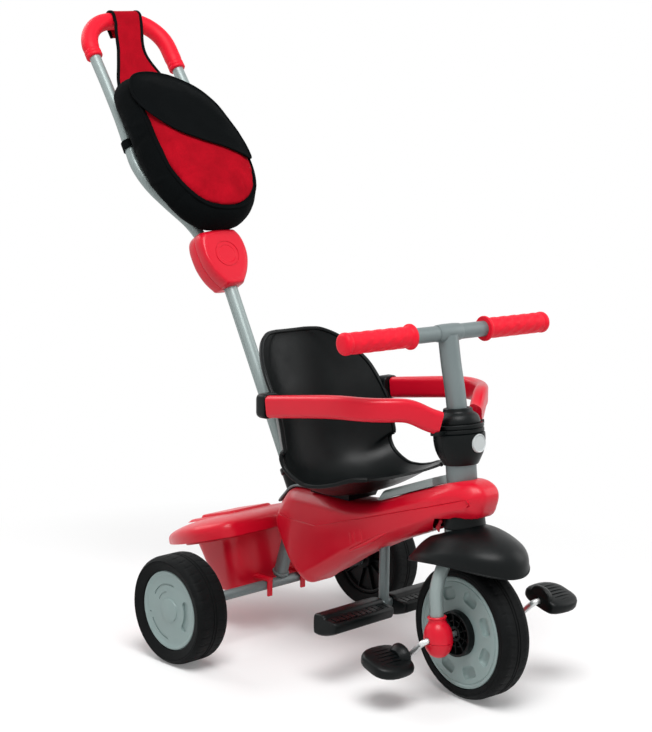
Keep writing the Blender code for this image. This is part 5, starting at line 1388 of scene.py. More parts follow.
def body_shell(side_name):
    """A moulded half: a rolled-over wall, two scored lines, three flutes and a ridge."""
    side = SIDES[side_name]
    name = "body_shell_" + side_name
    rings = []
    for depth, inwards in ((GAP / 2, 0.0), (0.017, 0.0), (0.0235, 0.0009), (0.029, 0.0028),
                           (0.0335, 0.0055), (0.0375, 0.0087), (0.0410, 0.0124),
                           (0.0435, 0.0160), (0.0450, 0.0200)):
        outline = smooth_loop(inset(BODY, inwards), 5)
        rings.append([(side * depth, y, z) for y, z in outline])
    mesh = loft_mesh(rings, close_start=False)
    shape = bmesh.new()
    shape.from_mesh(mesh)
    taper_shape(shape)
    score(shape, (-0.200, 0.2325), (-0.424, 0.3030), 0.0013, 0.020)
    score(shape, (-0.100, 0.2095), (0.010, 0.2105), 0.0011, 0.010)
    shape.to_mesh(mesh)
    shape.free()
    made = place(name, mesh, "red_plastic", "chassis", CHASSIS, 40.0)
    thicken(made, 0.0025, -1.0)
    bake(made, 40.0)
    cut_with(made, rod_mesh(0.0330, (0, 0, 0.12), (0, 0, 0.1765), 56), HEAD)
    cut_with(made, rod_mesh(0.0465, (0, 0, 0.12), (0, 0, 0.1695), 56), HEAD)
    cut_with(made, rod_mesh(HEAD_BORE, (0, 0, 0.17), (0, 0, 0.27), 56), HEAD)
    cut_with(made, rod_mesh(STRUT_RADIUS + GAP, STRUT_FOOT, STRUT_TOP, 40), CHASSIS)
    cut_with(made, rod_mesh(SOCKET_RADIUS + GAP, (0, 0, -0.035), (0, 0, 0.07), 48), HANDLE)
    cut_with(made, rod_mesh(POST_RADIUS + GAP, (0, POST_Y, 0.15), (0, POST_Y, 0.235), 32), CHASSIS)
    flutes = []
    for y, low, high, reach in FLUTES:
        path = [(side * 0.0464, y - 0.003, low), (side * 0.0461, y, (low + high) / 2),
                (side * 0.0466, y + 0.0035, high)]
        flutes.append(swept_mesh(smooth_run(path, 6), circle(reach, 20), (1.0, 0.0, 0.0),
                                 grow=lambda t: 0.25 + 0.75 * math.sin(math.pi * t) ** 0.5))
    combine(made, join_meshes(flutes))
    wing = smooth_run([(side * 0.0420, -0.1960, 0.1835), (side * 0.0432, -0.2150, 0.1925),
                       (side * 0.0436, -0.2400, 0.2060), (side * 0.0432, -0.2620, 0.2200),
                       (side * 0.0420, -0.2790, 0.2300)], 8)
    ridge = swept_mesh(wing, circle(0.0033, 20), (1.0, 0.0, 0.0),
                       grow=lambda t: 0.35 + 0.65 * math.sin(math.pi * t) ** 0.6)
    combine(made, ridge, "UNION")
    made.data.set_sharp_from_angle(angle=math.radians(34.0))
    even_normals(made)


def edge_trim():
    """The grey strip outside the shells' joint, wider round the handle's socket."""
    path = smooth_loop(inset(BODY, -0.0030), 5)
    start = 13 * 5
    end = 17 * 5 + 2
    run = [Vector((0.0, y, z)) for y, z in path[start - 2:end]]
    strip = swept_mesh(run, rounded_box(0.0024, 0.0055, 0.0016, 4), (1.0, 0.0, 0.0))
    made = place("rear_edge_trim", strip, "frame_paint", "chassis", CHASSIS, 50.0)
    eye = [Vector((0.0, y, z)) for y, z in path[12 * 5:15 * 5]]
    wide = swept_mesh(eye, rounded_box(0.0020, 0.0222, 0.0016, 4), (1.0, 0.0, 0.0))
    combine(made, wide, "UNION")
    cut_with(made, rod_mesh(SOCKET_RADIUS + GAP, (0, 0, -0.04), (0, 0, 0.07), 48), HANDLE)


def top_cover():
    """The grey cover on the body: a flat top with rolled edges and a sloped rear end."""
    front = Vector((0.0, -0.352, 0.3095))
    rear = Vector((0.0, -0.240, 0.268))
    along = (rear - front).normalized()
    up = Vector((0.0, -along.z, along.y))
    rings = []
    for distance, drop, narrow in ((0.0, 0.0, 0.0), (0.060, 0.0, 0.0), (0.100, 0.0, 0.0),
                                   (0.104, 0.0004, 0.0002), (0.107, 0.0014, 0.0006),
                                   (0.112, 0.0044, 0.0014), (0.117, 0.0074, 0.0024),
                                   (0.119, 0.0090, 0.0034)):
        base = front + along * distance + up * GAP / 2
        half = 0.027 - narrow
        thick = 0.012 - drop
        section = [(-half, 0.0), (-half, thick * 0.55)]
        for k in range(1, 8):
            angle = math.radians(180 - 90 * k / 8)
            section.append((-half + 0.0050 + 0.0050 * math.cos(angle),
                            thick * 0.55 + thick * 0.45 * math.sin(angle)))
        rings.append([base + Vector((x, 0.0, 0.0)) + up * z for x, z in both_sides(section)])
    made = place("top_cover", loft_mesh(rings), "light_paint", "chassis", CHASSIS, 40.0)
    cut_with(made, rod_mesh(HEAD_BORE, (0, 0, 0.15), (0, 0, 0.30), 56), HEAD)
    ridge = [front + along * d + up * (0.012 + GAP / 2) for d in (0.030, 0.060, 0.096)]
    groove = swept_mesh(smooth_run(ridge, 4), rounded_box(0.0085, 0.0007, 0.0003, 2))
    combine(made, groove)
    soften(made, 0.0006, 2, 42.0)


def frame_tubes():
    strut = place("main_tube", rod_mesh(STRUT_RADIUS, STRUT_FOOT, STRUT_TOP, 56), "frame_paint",
                  "chassis", CHASSIS, 50.0)
    spine = smooth_run([(0, -0.366, 0.290), (0, -0.330, 0.281), (0, -0.180, 0.226),
                        (0, -0.100, 0.202), (0, -0.026, 0.192)], 6)
    combine(strut, swept_mesh(spine, circle(0.0112, 32)), "UNION")
    cut_with(strut, rod_mesh(HEAD_BORE, (0, 0, 0.10), (0, 0, 0.26), 48), HEAD)
    combine(strut, rod_mesh(CLIP_BORE, (-0.03, 0, REAR_AXLE_Z), (0.03, 0, REAR_AXLE_Z), 40))
    bead = [(0.0119, 0.0), (0.0136, 0.0004), (0.0142, 0.0018), (0.0136, 0.0034), (0.0119, 0.0040)]
    lean = (Vector(STRUT_TOP) - Vector(STRUT_FOOT)).to_track_quat("Z", "Y").to_matrix().to_4x4()
    place("strut_weld", turned_mesh(bead, 56, True), "frame_paint", "chassis",
          CHASSIS @ Matrix.Translation(STRUT_FOOT) @ lean @ Matrix.Translation((0, 0, 0.0035)))
    tube = [(0.0048, 0.184), (0.0074, 0.184), (0.0080, 0.1834), (0.0080, -0.1834),
            (0.0074, -0.184), (0.0048, -0.184)]
    at_axle = (CHASSIS @ Matrix.Translation((0, 0, REAR_AXLE_Z))
               @ Matrix.Rotation(math.pi / 2, 4, "Y"))
    place("axle_tube", turned_mesh(tube, 64, True), "frame_paint", "chassis", at_axle, 50.0)
    socket = [(0.0, -0.006), (0.0121, -0.006), (0.0121, 0.0420), (0.0148, 0.0420),
              (0.0158, 0.0416), (0.0165, 0.0402), (0.0165, 0.0330), (0.0158, 0.0312),
              (0.0150, 0.0306), (0.0150, -0.0330), (0.0140, -0.0340), (0.0, -0.0340)]
    made = place("handle_socket", turned_mesh(socket, 64), "black_plastic", "chassis", HANDLE, 40.0)
    past = Vector(STRUT_TOP) + (Vector(STRUT_TOP) - Vector(STRUT_FOOT)).normalized() * GAP
    cut_with(made, rod_mesh(STRUT_RADIUS + GAP, STRUT_FOOT, past, 40), CHASSIS)


# Tub and lid

LID_RIM_Z = 0.177
LID_FRONT_Y = 0.005
LID_LENGTH = 0.275
LID_HALF_WIDTH = 0.130
TUB_FRONT_Y = 0.020


def lid_plane(y):
    return LID_RIM_Z - math.tan(LID_SLOPE) * (y - LID_FRONT_Y)


def corner_rectangle(half_x, front, rear, corner, steps=6):
    centre = (front + rear) / 2
    return [(x, y + centre) for x, y in rounded_box(half_x, (rear - front) / 2, corner, steps)]


def tub():
    """An open tub with leaning walls, a rim flange and two hooks over the axle tube."""
    levels = smooth_run([Vector(row) for row in (
        (0.06, 0.078, 0.023, 0.084, 0.022), (0.5, 0.089, 0.0215, 0.099, 0.022),
        (0.985, 0.0975, TUB_FRONT_Y, 0.1125, 0.022))], 4)
    levels = [(0.0, 0.071, 0.0275, 0.077, 0.020), (0.010, 0.0742, 0.0255, 0.0802, 0.021),
              (0.032, 0.0768, 0.0236, 0.0828, 0.022)] + [tuple(row) for row in levels]
    levels += [(1.0, 0.099, TUB_FRONT_Y, 0.1135, 0.022),
               (1.0, 0.1275, TUB_FRONT_Y - 0.0012, 0.122, 0.045)]
    rings = []
    for share, half_x, front, rear, corner in levels:
        ring = []
        for x, y in corner_rectangle(half_x, front, rear, corner):
            top = lid_plane(y) - GAP - 0.0026
            ring.append((x, y, 0.070 + (top - 0.070) * share))
        rings.append(ring)
    skin = loft_mesh(rings, close_end=False)
    if min(skin.polygons, key=lambda face: face.center.z).normal.z > 0:
        skin.flip_normals()
    made = place("storage_tub", skin, "red_plastic", "chassis", CHASSIS, 40.0)
    thicken(made, 0.0025, -1.0)
    bake(made, 40.0)
    reach = CLIP_BORE
    over = REAR_AXLE_Z + reach
    for side in SIDES.values():
        low = side * 0.037 - 0.0055
        high = side * 0.037 + 0.0055
        hook_top = box_mesh((low, -reach - 0.004, over), (high, TUB_FRONT_Y + 0.0035, over + 0.005))
        hook_end = box_mesh((low + 0.001, -reach - 0.004, 0.0685),
                            (high - 0.001, -reach, over + 0.002))
        combine(made, hook_top, "UNION")
        combine(made, hook_end, "UNION")
    soften(made, 0.0010, 2, 46.0)


def lid_half_width(distance):
    widest = 0.070
    if distance < widest:
        return 0.100 + (LID_HALF_WIDTH - 0.100) * math.sin(distance / widest * math.pi / 2)
    tail = (distance - widest) / (LID_LENGTH - widest)
    return LID_HALF_WIDTH * (1 - tail ** 1.75) ** 0.84


def lid_outline(scale, front):
    right = []
    for i in range(41):
        share = i / 40
        distance = LID_LENGTH * (1 - (1 - share) ** 1.5)
        half = lid_half_width(min(distance, LID_LENGTH * 0.9995))
        half -= 0.010 * max(0.0, 1.0 - distance / 0.012) ** 2
        right.append((half * scale, 0.095 + (distance - 0.095) * scale))
    return [(x, max(y, front)) for x, y in both_sides(right)]


def lid():
    """A thin teardrop lid: skirt, rolled edge, crown, raised panel and a second low step."""
    stations = ((1.0, 0.0, 0.0), (1.0, 0.004, 0.0), (1.0, 0.0105, 0.0), (0.996, 0.0150, 0.0),
                (0.986, 0.0190, 0.0), (0.968, 0.0222, 0.0006), (0.94, 0.0245, 0.0016),
                (0.90, 0.0268, 0.0036), (0.82, 0.0296, 0.0070), (0.72, 0.0316, 0.0105),
                (0.60, 0.0330, 0.0190), (0.48, 0.0338, 0.0280), (0.36, 0.0340, 0.0400))
    rings = []
    for scale, height, front in stations:
        ring = []
        for x, y in lid_outline(scale, front):
            tail = max(0.0, (y - 0.080) / 0.195)
            ring.append((x, y, height * (1 - 0.70 * tail ** 1.6)))
        rings.append(ring)
    made = place("storage_lid", loft_mesh(rings, close_start=False), "red_plastic", "lid", LID,
                 40.0)
    thicken(made, 0.0025, -1.0)
    bake(made, 40.0)
    panel = corner_rectangle(0.0450, 0.060, 0.150, 0.012)
    step = corner_rectangle(0.0620, 0.040, 0.165, 0.016)
    for outline, low, high in ((step, 0.0300, 0.0341), (panel, 0.0310, 0.0385)):
        rings = []
        for height, size in ((low, 1.05), (high - 0.0012, 0.99), (high - 0.0003, 0.965),
                             (high, 0.935)):
            rings.append([(x * size, 0.105 + (y - 0.105) * size, height) for x, y in outline])
        combine(made, loft_mesh(rings), "UNION")
    soften(made, 0.0006, 2, 50.0)
    even_normals(made)


# Foot rest

def foot_rest():
    post = place("footrest_post",
                 rod_mesh(POST_RADIUS, (0, POST_Y, CROSS_Z), (0, POST_Y, 0.236), 48), "frame_paint",
                 "chassis", CHASSIS, 50.0)
    cross = rod_mesh(POST_RADIUS, (-0.1345, POST_Y, CROSS_Z), (0.1345, POST_Y, CROSS_Z), 48)
    combine(post, cross, "UNION")
    combine(post, rod_mesh(0.0115, (0, -0.330, 0.281), (0, -0.180, 0.226), 32))
    soften(post, 0.0008, 2, 50.0)


def foot_pad(side_name):
    """A ribbed foot pad that clips round the cross tube."""
    side = SIDES[side_name]
    name = "foot_pad_" + side_name
    matrix = CHASSIS @ Matrix.Translation((0.0, POST_Y, CROSS_Z))
    outline = smooth_loop([(-0.034, 0.0030), (-0.0340, -0.0090), (-0.0290, -0.0140),
                           (-0.0080, -0.0208), (0.0080, -0.0208), (0.0119, -0.0170),
                           (0.0119, 0.0060), (0.0070, 0.0112), (-0.0080, 0.0112),
                           (-0.0140, 0.0062)], 5)
    rings = []
    for x, size in ((0.012, 0.86), (0.0135, 0.95), (0.017, 1.0), (0.135, 1.0), (0.1385, 0.95),
                    (0.140, 0.86)):
        rings.append([(side * x, y * size, z * size) for y, z in outline])
    pad = place(name, loft_mesh(rings), "black_plastic", name, matrix, 40.0)
    combine(pad, rod_mesh(CLIP_BORE, (0.0, 0, 0), (side * 0.135, 0, 0), 40))
    grooves = []
    for i in range(11):
        x = side * (0.022 + i * 0.0108)
        grooves.append(box_mesh((x - 0.0011, -0.0310, 0.0015), (x + 0.0011, -0.0135, 0.0060)))
    combine(pad, join_meshes(grooves))
    soften(pad, 0.0007, 2, 45.0)


# Push handle

def handle_tube():
    """A round tube with a groove along each side."""
    outline = []
    for k in range(72):
        angle = 2 * math.pi * k / 72
        groove = math.exp(-(math.sin(angle) / 0.17) ** 2)
        radius = 0.0113 - 0.0017 * groove
        outline.append((radius * math.cos(angle), radius * math.sin(angle)))
    place("handle_tube", plate_mesh(outline, -0.0057, 0.398), "light_paint", "push_handle", HANDLE,
          28.0)


CLAMP_LOW = 0.357
CLAMP_TOP = 0.456
CLAMP_HALF = 0.043


def clamp_outline():
    right = [(CLAMP_HALF * 0.60, CLAMP_TOP), (CLAMP_HALF * 0.84, CLAMP_TOP - 0.0030),
             (CLAMP_HALF * 0.965, CLAMP_TOP - 0.0140), (CLAMP_HALF, CLAMP_TOP - 0.0300),
             (CLAMP_HALF * 0.95, CLAMP_TOP - 0.0550), (CLAMP_HALF * 0.76, CLAMP_LOW + 0.0210),
             (CLAMP_HALF * 0.50, CLAMP_LOW + 0.0050), (CLAMP_HALF * 0.34, CLAMP_LOW)]
    return smooth_loop(both_sides(right), 6)


def clamp(name, front):
    """One half of the red clamp; the front half carries a plain embossed ring."""
    facing = -1.0 if front else 1.0
    depth = 0.022 if front else 0.025
    middle = (CLAMP_TOP + CLAMP_LOW) / 2
    rings = []
    stations = ((0.0, 0.985), (0.02, 0.995), (0.06, 1.0), (0.50, 0.998), (0.74, 0.990),
                (0.86, 0.974), (0.93, 0.952), (0.965, 0.930), (0.985, 0.905), (0.998, 0.872),
                (0.990, 0.850), (0.990, 0.836), (1.0, 0.822), (1.0, 0.800))
    for share, size in stations:
        y = facing * (GAP / 2 + depth * share)
        egg = max(0.0, (share - 0.30) / 0.70) ** 2 if front else 0.0
        ring = []
        for x, z in clamp_outline():
            up = (z - middle) / (CLAMP_TOP - middle)
            narrow = 1 - 0.13 * egg * up * up * (1.0 if up > 0 else 0.6)
            rounder = 1 - 0.13 * egg * (x / CLAMP_HALF) ** 2
            ring.append((x * size * narrow, y, middle + (z - middle) * size * rounder))
        rings.append(ring)
    made = place(name, loft_mesh(rings), "red_plastic", "push_handle", HANDLE, 32.0)
    combine(made, rod_mesh(0.0116, (0, 0, CLAMP_LOW - 0.02), (0, 0, 0.3983), 48))
    for side in SIDES.values():
        foot = [Vector((side * p.x, p.y, p.z)) for p in half_loop()[:13]]
        foot[0] = foot[0] - Vector((0.0, 0.0, GAP))
        cut_with(made, swept_mesh(foot, circle(0.0103, 36), (0.0, 1.0, 0.0)), LOOP)
    if front:
        face = facing * (GAP / 2 + depth)
        ring = [(0.0212, -0.0009), (0.0212, 0.003), (0.0226, 0.003), (0.0226, -0.0009)]
        spot = (Matrix.Translation((0.0, face, middle + 0.004))
                @ Matrix.Rotation(math.pi / 2, 4, "X"))
        combine(made, moved(turned_mesh(ring, 80, True), spot))
        dish = [(0.0, -0.0007), (0.0150, -0.0007), (0.0158, 0.0000), (0.0160, 0.003), (0.0, 0.003)]
        combine(made, moved(turned_mesh(dish, 80), spot))
    soften(made, 0.0004, 2, 42.0)


LOOP_TOP = 0.474
ARCH_RADIUS = 0.062
LOOP_HALF = 0.078
ARCH_GRIP_DROP = 0.078
RISER = ((0.0225, -0.024), (0.0225, 0.010), (0.0245, 0.031), (0.035, 0.058), (0.056, 0.092),
         (0.077, 0.131), (0.087, 0.172), (0.0845, 0.212), (0.080, 0.270), (0.078, 0.340))


def arch_half(drop=ARCH_GRIP_DROP):
    points = [Vector((LOOP_HALF, 0.0, LOOP_TOP - drop))]
    centre_x = LOOP_HALF - ARCH_RADIUS
    for k in range(19):
        angle = math.radians(90 * k / 18)
        points.append(Vector((centre_x + ARCH_RADIUS * math.cos(angle), 0.0,
                              LOOP_TOP - ARCH_RADIUS + ARCH_RADIUS * math.sin(angle))))
    return points


def half_loop():
    riser = smooth_run([(x, 0.0, z) for x, z in RISER], 4)
    return riser + arch_half()


def mirrored_run(half):
    return list(half) + [Vector((-p.x, p.y, p.z)) for p in reversed(half)]


def loop_pieces():
    run = mirrored_run(half_loop())
    place("loop_tube", swept_mesh(run, circle(0.010, 36), (0.0, 1.0, 0.0)), "light_paint",
          "push_handle", LOOP, 60.0)
    far = arch_half(ARCH_GRIP_DROP + 0.030)
    arch = far + mirrored_run(arch_half())[len(far):]
    dense = []
    for before, after in zip(arch, arch[1:]):
        steps = max(1, int((after - before).length / 0.0011))
        for k in range(steps):
            dense.append(before.lerp(after, k / steps))
    dense.append(arch[-1])
    reach = [0.0]
    for before, after in zip(dense, dense[1:]):
        reach.append(reach[-1] + (after - before).length)
    total = reach[-1]

    def grow(share):
        here = reach[min(len(reach) - 1, round(share * (len(reach) - 1)))]
        edge = min(here, total - here)
        size = 0.0138
        if edge < 0.0016:
            size = 0.0126 + 0.0016 * math.sqrt(max(0.0, edge) / 0.0016)
        elif edge < 0.0065:
            size = 0.0146
        elif edge < 0.0078:
            size = 0.0137
        elif edge < 0.0135:
            size = 0.0145
        elif edge < 0.0150:
            size = 0.0136
        elif edge < 0.0240:
            size = 0.0138 + 0.0010 * (edge - 0.0150) / 0.0090
        else:
            size = 0.0148
        return size

    sleeve = swept_mesh(dense, circle(1.0, 40), (0.0, 1.0, 0.0), grow=grow)
    place("arch_grip", sleeve, "red_rubber", "push_handle", LOOP, 50.0)


for build_piece in (edge_trim, top_cover, frame_tubes, tub, lid, foot_rest, handle_tube,
                    loop_pieces):
    build_piece()
clamp("clamp_front", True)
clamp("clamp_rear", False)
for side_name in SIDES:
    body_shell(side_name)
    foot_pad(side_name)


# Bag on the loop

SWELL_FRAMES = 20
BAG_BACK = 0.0127
BAG_DEPTH = 0.058
BAG_MIDDLE = (0.0, 0.172)
BAG_EDGE = ((0.022, 0.018), (0.052, 0.028), (0.080, 0.054), (0.095, 0.094), (0.099, 0.138),
            (0.095, 0.186), (0.083, 0.234), (0.065, 0.270), (0.038, 0.298), (0.004, 0.318),
            (-0.036, 0.327), (-0.068, 0.323), (-0.088, 0.307), (-0.096, 0.274), (-0.098, 0.215),
            (-0.098, 0.160), (-0.092, 0.110), (-0.075, 0.066), (-0.050, 0.036), (-0.020, 0.021))
FRONT_SIZE = 0.865
FRONT_SHIFT = 0.007


def bag_outline(size=1.0, shift=0.0):
    return [(x * size + shift, BAG_MIDDLE[1] + (z - BAG_MIDDLE[1]) * size)
            for x, z in smooth_loop(BAG_EDGE, 4)]


def bag_loft(stations):
    rings = []
    for depth, size, shift in stations:
        rings.append([(x, -depth, z) for x, z in bag_outline(size, shift)])
    return loft_mesh(rings)


def puff(made, voxel, pressure, cap):
    """Swells a closed piece with cloth pressure, and limits how far each point may move."""
    grid = made.modifiers.new("grid", "REMESH")
    grid.mode = "VOXEL"
    grid.voxel_size = voxel
    bake(made, 0.0)
    before = [vertex.co.copy() for vertex in made.data.vertices]
    cloth = made.modifiers.new("swell", "CLOTH")
    cloth.settings.use_pressure = True
    cloth.settings.uniform_pressure_force = pressure
    cloth.settings.effector_weights.gravity = 0.0
    cloth.settings.mass = 0.3
    cloth.settings.quality = 6
    scene = bpy.context.scene
    scene.frame_start = 1
    scene.frame_end = SWELL_FRAMES
    for number in range(1, SWELL_FRAMES + 1):
        scene.frame_set(number)
    bake(made, 0.0)
    scene.frame_set(1)
    for vertex, start in zip(made.data.vertices, before):
        shift = vertex.co - start
        if shift.length > cap:
            vertex.co = start + shift.normalized() * cap
    relax = made.modifiers.new("relax", "SMOOTH")
    relax.factor = 0.5
    relax.iterations = 3
    finer(made, 1)
    bake(made, 0.0)
    return made


def crease(made, lines):
    """Soft folds: each line is start, end, half width and height, in the piece's frame."""
    normals = [vertex.normal.copy() for vertex in made.data.vertices]
    for vertex, normal in zip(made.data.vertices, normals):
        lift = 0.0
        for start, end, width, height in lines:
            start = Vector(start)
            run = Vector(end) - start
            share = max(0.0, min(1.0, (vertex.co - start).dot(run) / run.length_squared))
            away = (vertex.co - start - run * share).length
            swell = math.sin(math.pi * (0.12 + 0.76 * share))
            lift += height * math.exp(-(away / width) ** 2) * swell
        wave = noise.noise(vertex.co * 34.0) * 0.0009 + noise.noise(vertex.co * 75.0) * 0.0004
        vertex.co += normal * (lift + wave)
    made.data.update()


def bag_sides():
    """The black back and side band of the bag, swelled by cloth pressure and creased."""
    stations = [(BAG_BACK + 0.0010, 0.84, 0.0), (BAG_BACK + 0.0015, 0.92, 0.0),
                (BAG_BACK + 0.0040, 0.965, 0.0), (BAG_BACK + 0.0090, 0.990, 0.0),
                (BAG_BACK + 0.0180, 0.995, 0.0), (BAG_BACK + 0.0280, 0.980, 0.001),
                (BAG_BACK + 0.0380, 0.950, 0.003), (BAG_BACK + 0.0460, 0.915, 0.005),
                (BAG_BACK + 0.0505, 0.890, 0.007), (BAG_BACK + 0.0520, 0.870, 0.007),
                (BAG_BACK + 0.0500, 0.830, 0.007), (BAG_BACK + 0.0430, 0.740, 0.007),
                (BAG_BACK + 0.0400, 0.500, 0.007)]
    made = place("bag_sides", bag_loft(stations), "black_fabric", "push_handle", LOOP, 0.0,
                 replaced=("bag_body",))
    puff(made, 0.0050, 1.6, 0.0035)
    crease(made, [((-0.096, -0.020, 0.235), (-0.086, -0.058, 0.215), 0.0045, 0.0016),
                  ((-0.098, -0.018, 0.180), (-0.086, -0.060, 0.196), 0.0050, -0.0018),
                  ((-0.093, -0.020, 0.120), (-0.082, -0.060, 0.108), 0.0045, 0.0018),
                  ((-0.074, -0.018, 0.066), (-0.062, -0.062, 0.076), 0.0050, -0.0020),
                  ((-0.034, -0.020, 0.028), (-0.034, -0.062, 0.044), 0.0045, 0.0018),
                  ((0.030, -0.022, 0.026), (0.026, -0.062, 0.044), 0.0050, -0.0018),
                  ((0.084, -0.022, 0.070), (0.070, -0.060, 0.074), 0.0050, 0.0018),
                  ((0.096, -0.020, 0.190), (0.086, -0.060, 0.205), 0.0050, -0.0018),
                  ((-0.060, -0.018, 0.312), (-0.052, -0.054, 0.296), 0.0050, 0.0016)])
    made.data.shade_smooth()
    return made


def bag_pouch():
    """The red front panel, swelled over its seam and creased towards the bottom."""
    front = BAG_BACK + BAG_DEPTH - 0.0045
    stations = [(front - 0.0220, 0.760, FRONT_SHIFT), (front - 0.0130, 0.800, FRONT_SHIFT),
                (front - 0.0060, 0.834, FRONT_SHIFT), (front - 0.0020, 0.842, FRONT_SHIFT),
                (front + 0.0010, 0.826, FRONT_SHIFT), (front + 0.0030, 0.780, FRONT_SHIFT),
                (front + 0.0042, 0.69, FRONT_SHIFT), (front + 0.0047, 0.52, FRONT_SHIFT)]
    made = place("bag_pouch", bag_loft(stations), "red_fabric", "push_handle", LOOP, 0.0)
    puff(made, 0.0050, 2.2, 0.0045)
    crease(made, [((-0.060, -0.070, 0.124), (-0.012, -0.070, 0.150), 0.0050, 0.0018),
                  ((-0.054, -0.070, 0.100), (-0.004, -0.070, 0.114), 0.0055, -0.0018),
                  ((-0.040, -0.070, 0.074), (-0.004, -0.070, 0.100), 0.0050, 0.0020),
                  ((-0.014, -0.070, 0.058), (0.010, -0.070, 0.090), 0.0055, -0.0018),
                  ((0.018, -0.070, 0.054), (0.022, -0.070, 0.092), 0.0050, 0.0018),
                  ((0.050, -0.070, 0.066), (0.042, -0.070, 0.112), 0.0045, 0.0022),
                  ((0.070, -0.070, 0.098), (0.050, -0.070, 0.126), 0.0055, -0.0016),
                  ((-0.066, -0.068, 0.170), (-0.038, -0.070, 0.190), 0.0055, 0.0016)])
    made.data.shade_smooth()
    return made


def front_reader(pieces):
    """A function that gives the y of the stuffed bag's front at any x and z."""
    trees = [BVHTree.FromPolygons([vertex.co for vertex in made.data.vertices],
                                  [tuple(face.vertices) for face in made.data.polygons])
             for made in pieces]

    def front_at(x, z):
        found = []
        for tree in trees:
            hit = tree.ray_cast(Vector((x, -0.3, z)), Vector((0.0, 1.0, 0.0)))
            if hit[0] is not None:
                found.append(hit[0].y)
        return min(found) if found else None
    return front_at


def tube_round(run, radius_x, radius_y, outwards=0.0):
    """A closed cord of oval section along a closed run of points."""
    count = len(run)
    rings = []
    for i in range(count + 1):
        here = run[i % count]
        ahead = (run[(i + 1) % count] - run[(i - 1) % count]).normalized()
        side = ahead.cross(Vector((0.0, 1.0, 0.0))).normalized()
        top = side.cross(ahead)
        rings.append([here + side * (x * radius_x) + top * (y * radius_y + outwards)
                      for x, y in circle(1.0, 10)])
    return loft_mesh(rings, False, False)


def seam_piping(front_at):
    """The black piping where the front panel meets the side band."""
    run = []
    for x, z in bag_outline(FRONT_SIZE, FRONT_SHIFT):
        inner_x = FRONT_SHIFT + (x - FRONT_SHIFT) * 0.985
        inner_z = BAG_MIDDLE[1] + (z - BAG_MIDDLE[1]) * 0.985
        depths = [front_at(px, pz) for px, pz in ((x, z), (inner_x, inner_z))]
        run.append(Vector((x, min(y for y in depths if y is not None), z)))
    for k in range(6):
        run = [Vector((p.x, (run[i - 1].y + p.y * 2 + run[(i + 1) % len(run)].y) / 4, p.z))
               for i, p in enumerate(run)]
    place("bag_piping", tube_round(run, 0.0021, 0.0021), "black_fabric", "push_handle", LOOP, 60.0)


FLAP = ((0.0790, 0.214), (0.0700, 0.246), (0.0540, 0.272), (0.0310, 0.293), (0.0010, 0.310),
        (-0.0330, 0.318), (-0.0600, 0.314), (-0.0765, 0.297), (-0.0820, 0.268), (-0.0735, 0.236),
        (-0.0580, 0.208), (-0.0330, 0.185), (0.0050, 0.166), (0.0400, 0.150), (0.0680, 0.134),
        (0.0860, 0.126), (0.0905, 0.143), (0.0880, 0.182))
FLAP_CENTRE = Vector((0.008, 0.240))


def flap(front_at):
    """The black flap: it lies on the pouch, rolls over its top and lifts a little below."""
    outline = smooth_loop(FLAP, 6)
    steps = 18
    count = len(outline)
    spots = []
    depth = []
    for step in range(steps, 0, -1):
        size = step / steps
        row = [(FLAP_CENTRE.x + (x - FLAP_CENTRE.x) * size,
                FLAP_CENTRE.y + (z - FLAP_CENTRE.y) * size) for x, z in outline]
        found = []
        for x, z in row:
            y = front_at(x, z)
            for k in range(1, 8):
                if y is None:
                    pull = 1 - 0.012 * k
                    y = front_at(x * pull, BAG_MIDDLE[1] + (z - BAG_MIDDLE[1]) * pull)
            found.append(y)
        spots.append(row)
        depth.append(found)
    floor = [list(row) for row in depth]
    for k in range(14):
        for r in range(steps):
            for i in range(count):
                near = [depth[r][i - 1], depth[r][(i + 1) % count]]
                near += [depth[q][i] for q in (r - 1, r + 1) if 0 <= q < steps]
                mean = sum(near) / len(near)
                depth[r][i] = min(floor[r][i], 0.5 * depth[r][i] + 0.5 * mean)
    rings = []
    for r in range(steps):
        size = (steps - r) / steps
        ring = []
        for (x, z), y in zip(spots[r], depth[r]):
            low_edge = min(1.0, max(0.0, (0.215 - 0.50 * x - z) / 0.05))
            off = 0.0030 + 0.0016 * low_edge * size ** 3
            fold = 0.0007 * math.sin(x * 95.0 + z * 60.0) * (1 - size) + 0.0006 * noise.noise(
                Vector((x * 40.0, z * 40.0, 0.3)))
            ring.append((x, y - off - fold, z))
        rings.append(ring)
    mesh = loft_mesh(rings, close_start=False, close_end=True)
    middle = min(mesh.polygons, key=lambda face: (face.center - Vector((0.0, -0.07, 0.24))).length)
    if middle.normal.y > 0:
        mesh.flip_normals()
    made = place("bag_flap_cloth", mesh, "black_fabric", "push_handle", LOOP, 0.0,
                 replaced=("bag_flap",))
    thicken(made, 0.0022, -1.0)
    bake(made, 0.0)
    hem = [Vector(point) for point in rings[0]]
    hem_piece = place("flap_hem", tube_round(hem, 0.0024, 0.0017, 0.0006), "black_fabric",
                      "push_handle", LOOP, 60.0)


# Height, y, and the x of the strap's two edges
STRAP = ((0.290, -0.0300, -0.0780, 0.0330), (0.306, -0.0245, -0.0755, 0.0310),
         (0.322, -0.0216, -0.0700, 0.0275), (0.338, -0.0205, -0.0645, 0.0235),
         (0.356, -0.0200, -0.0565, 0.0175), (0.378, -0.0196, -0.0475, 0.0115),
         (0.398, -0.0192, -0.0395, 0.0115), (0.418, -0.0188, -0.0335, 0.0168),
         (0.438, -0.0184, -0.0275, 0.0245), (0.456, -0.0178, -0.0205, 0.0310))
STRAP_FREE_ROWS = 36
STRAP_TOP = 0.474
STRAP_ROUND = 0.0176
STRAP_LEFT = -0.0145
STRAP_RIGHT = 0.0360


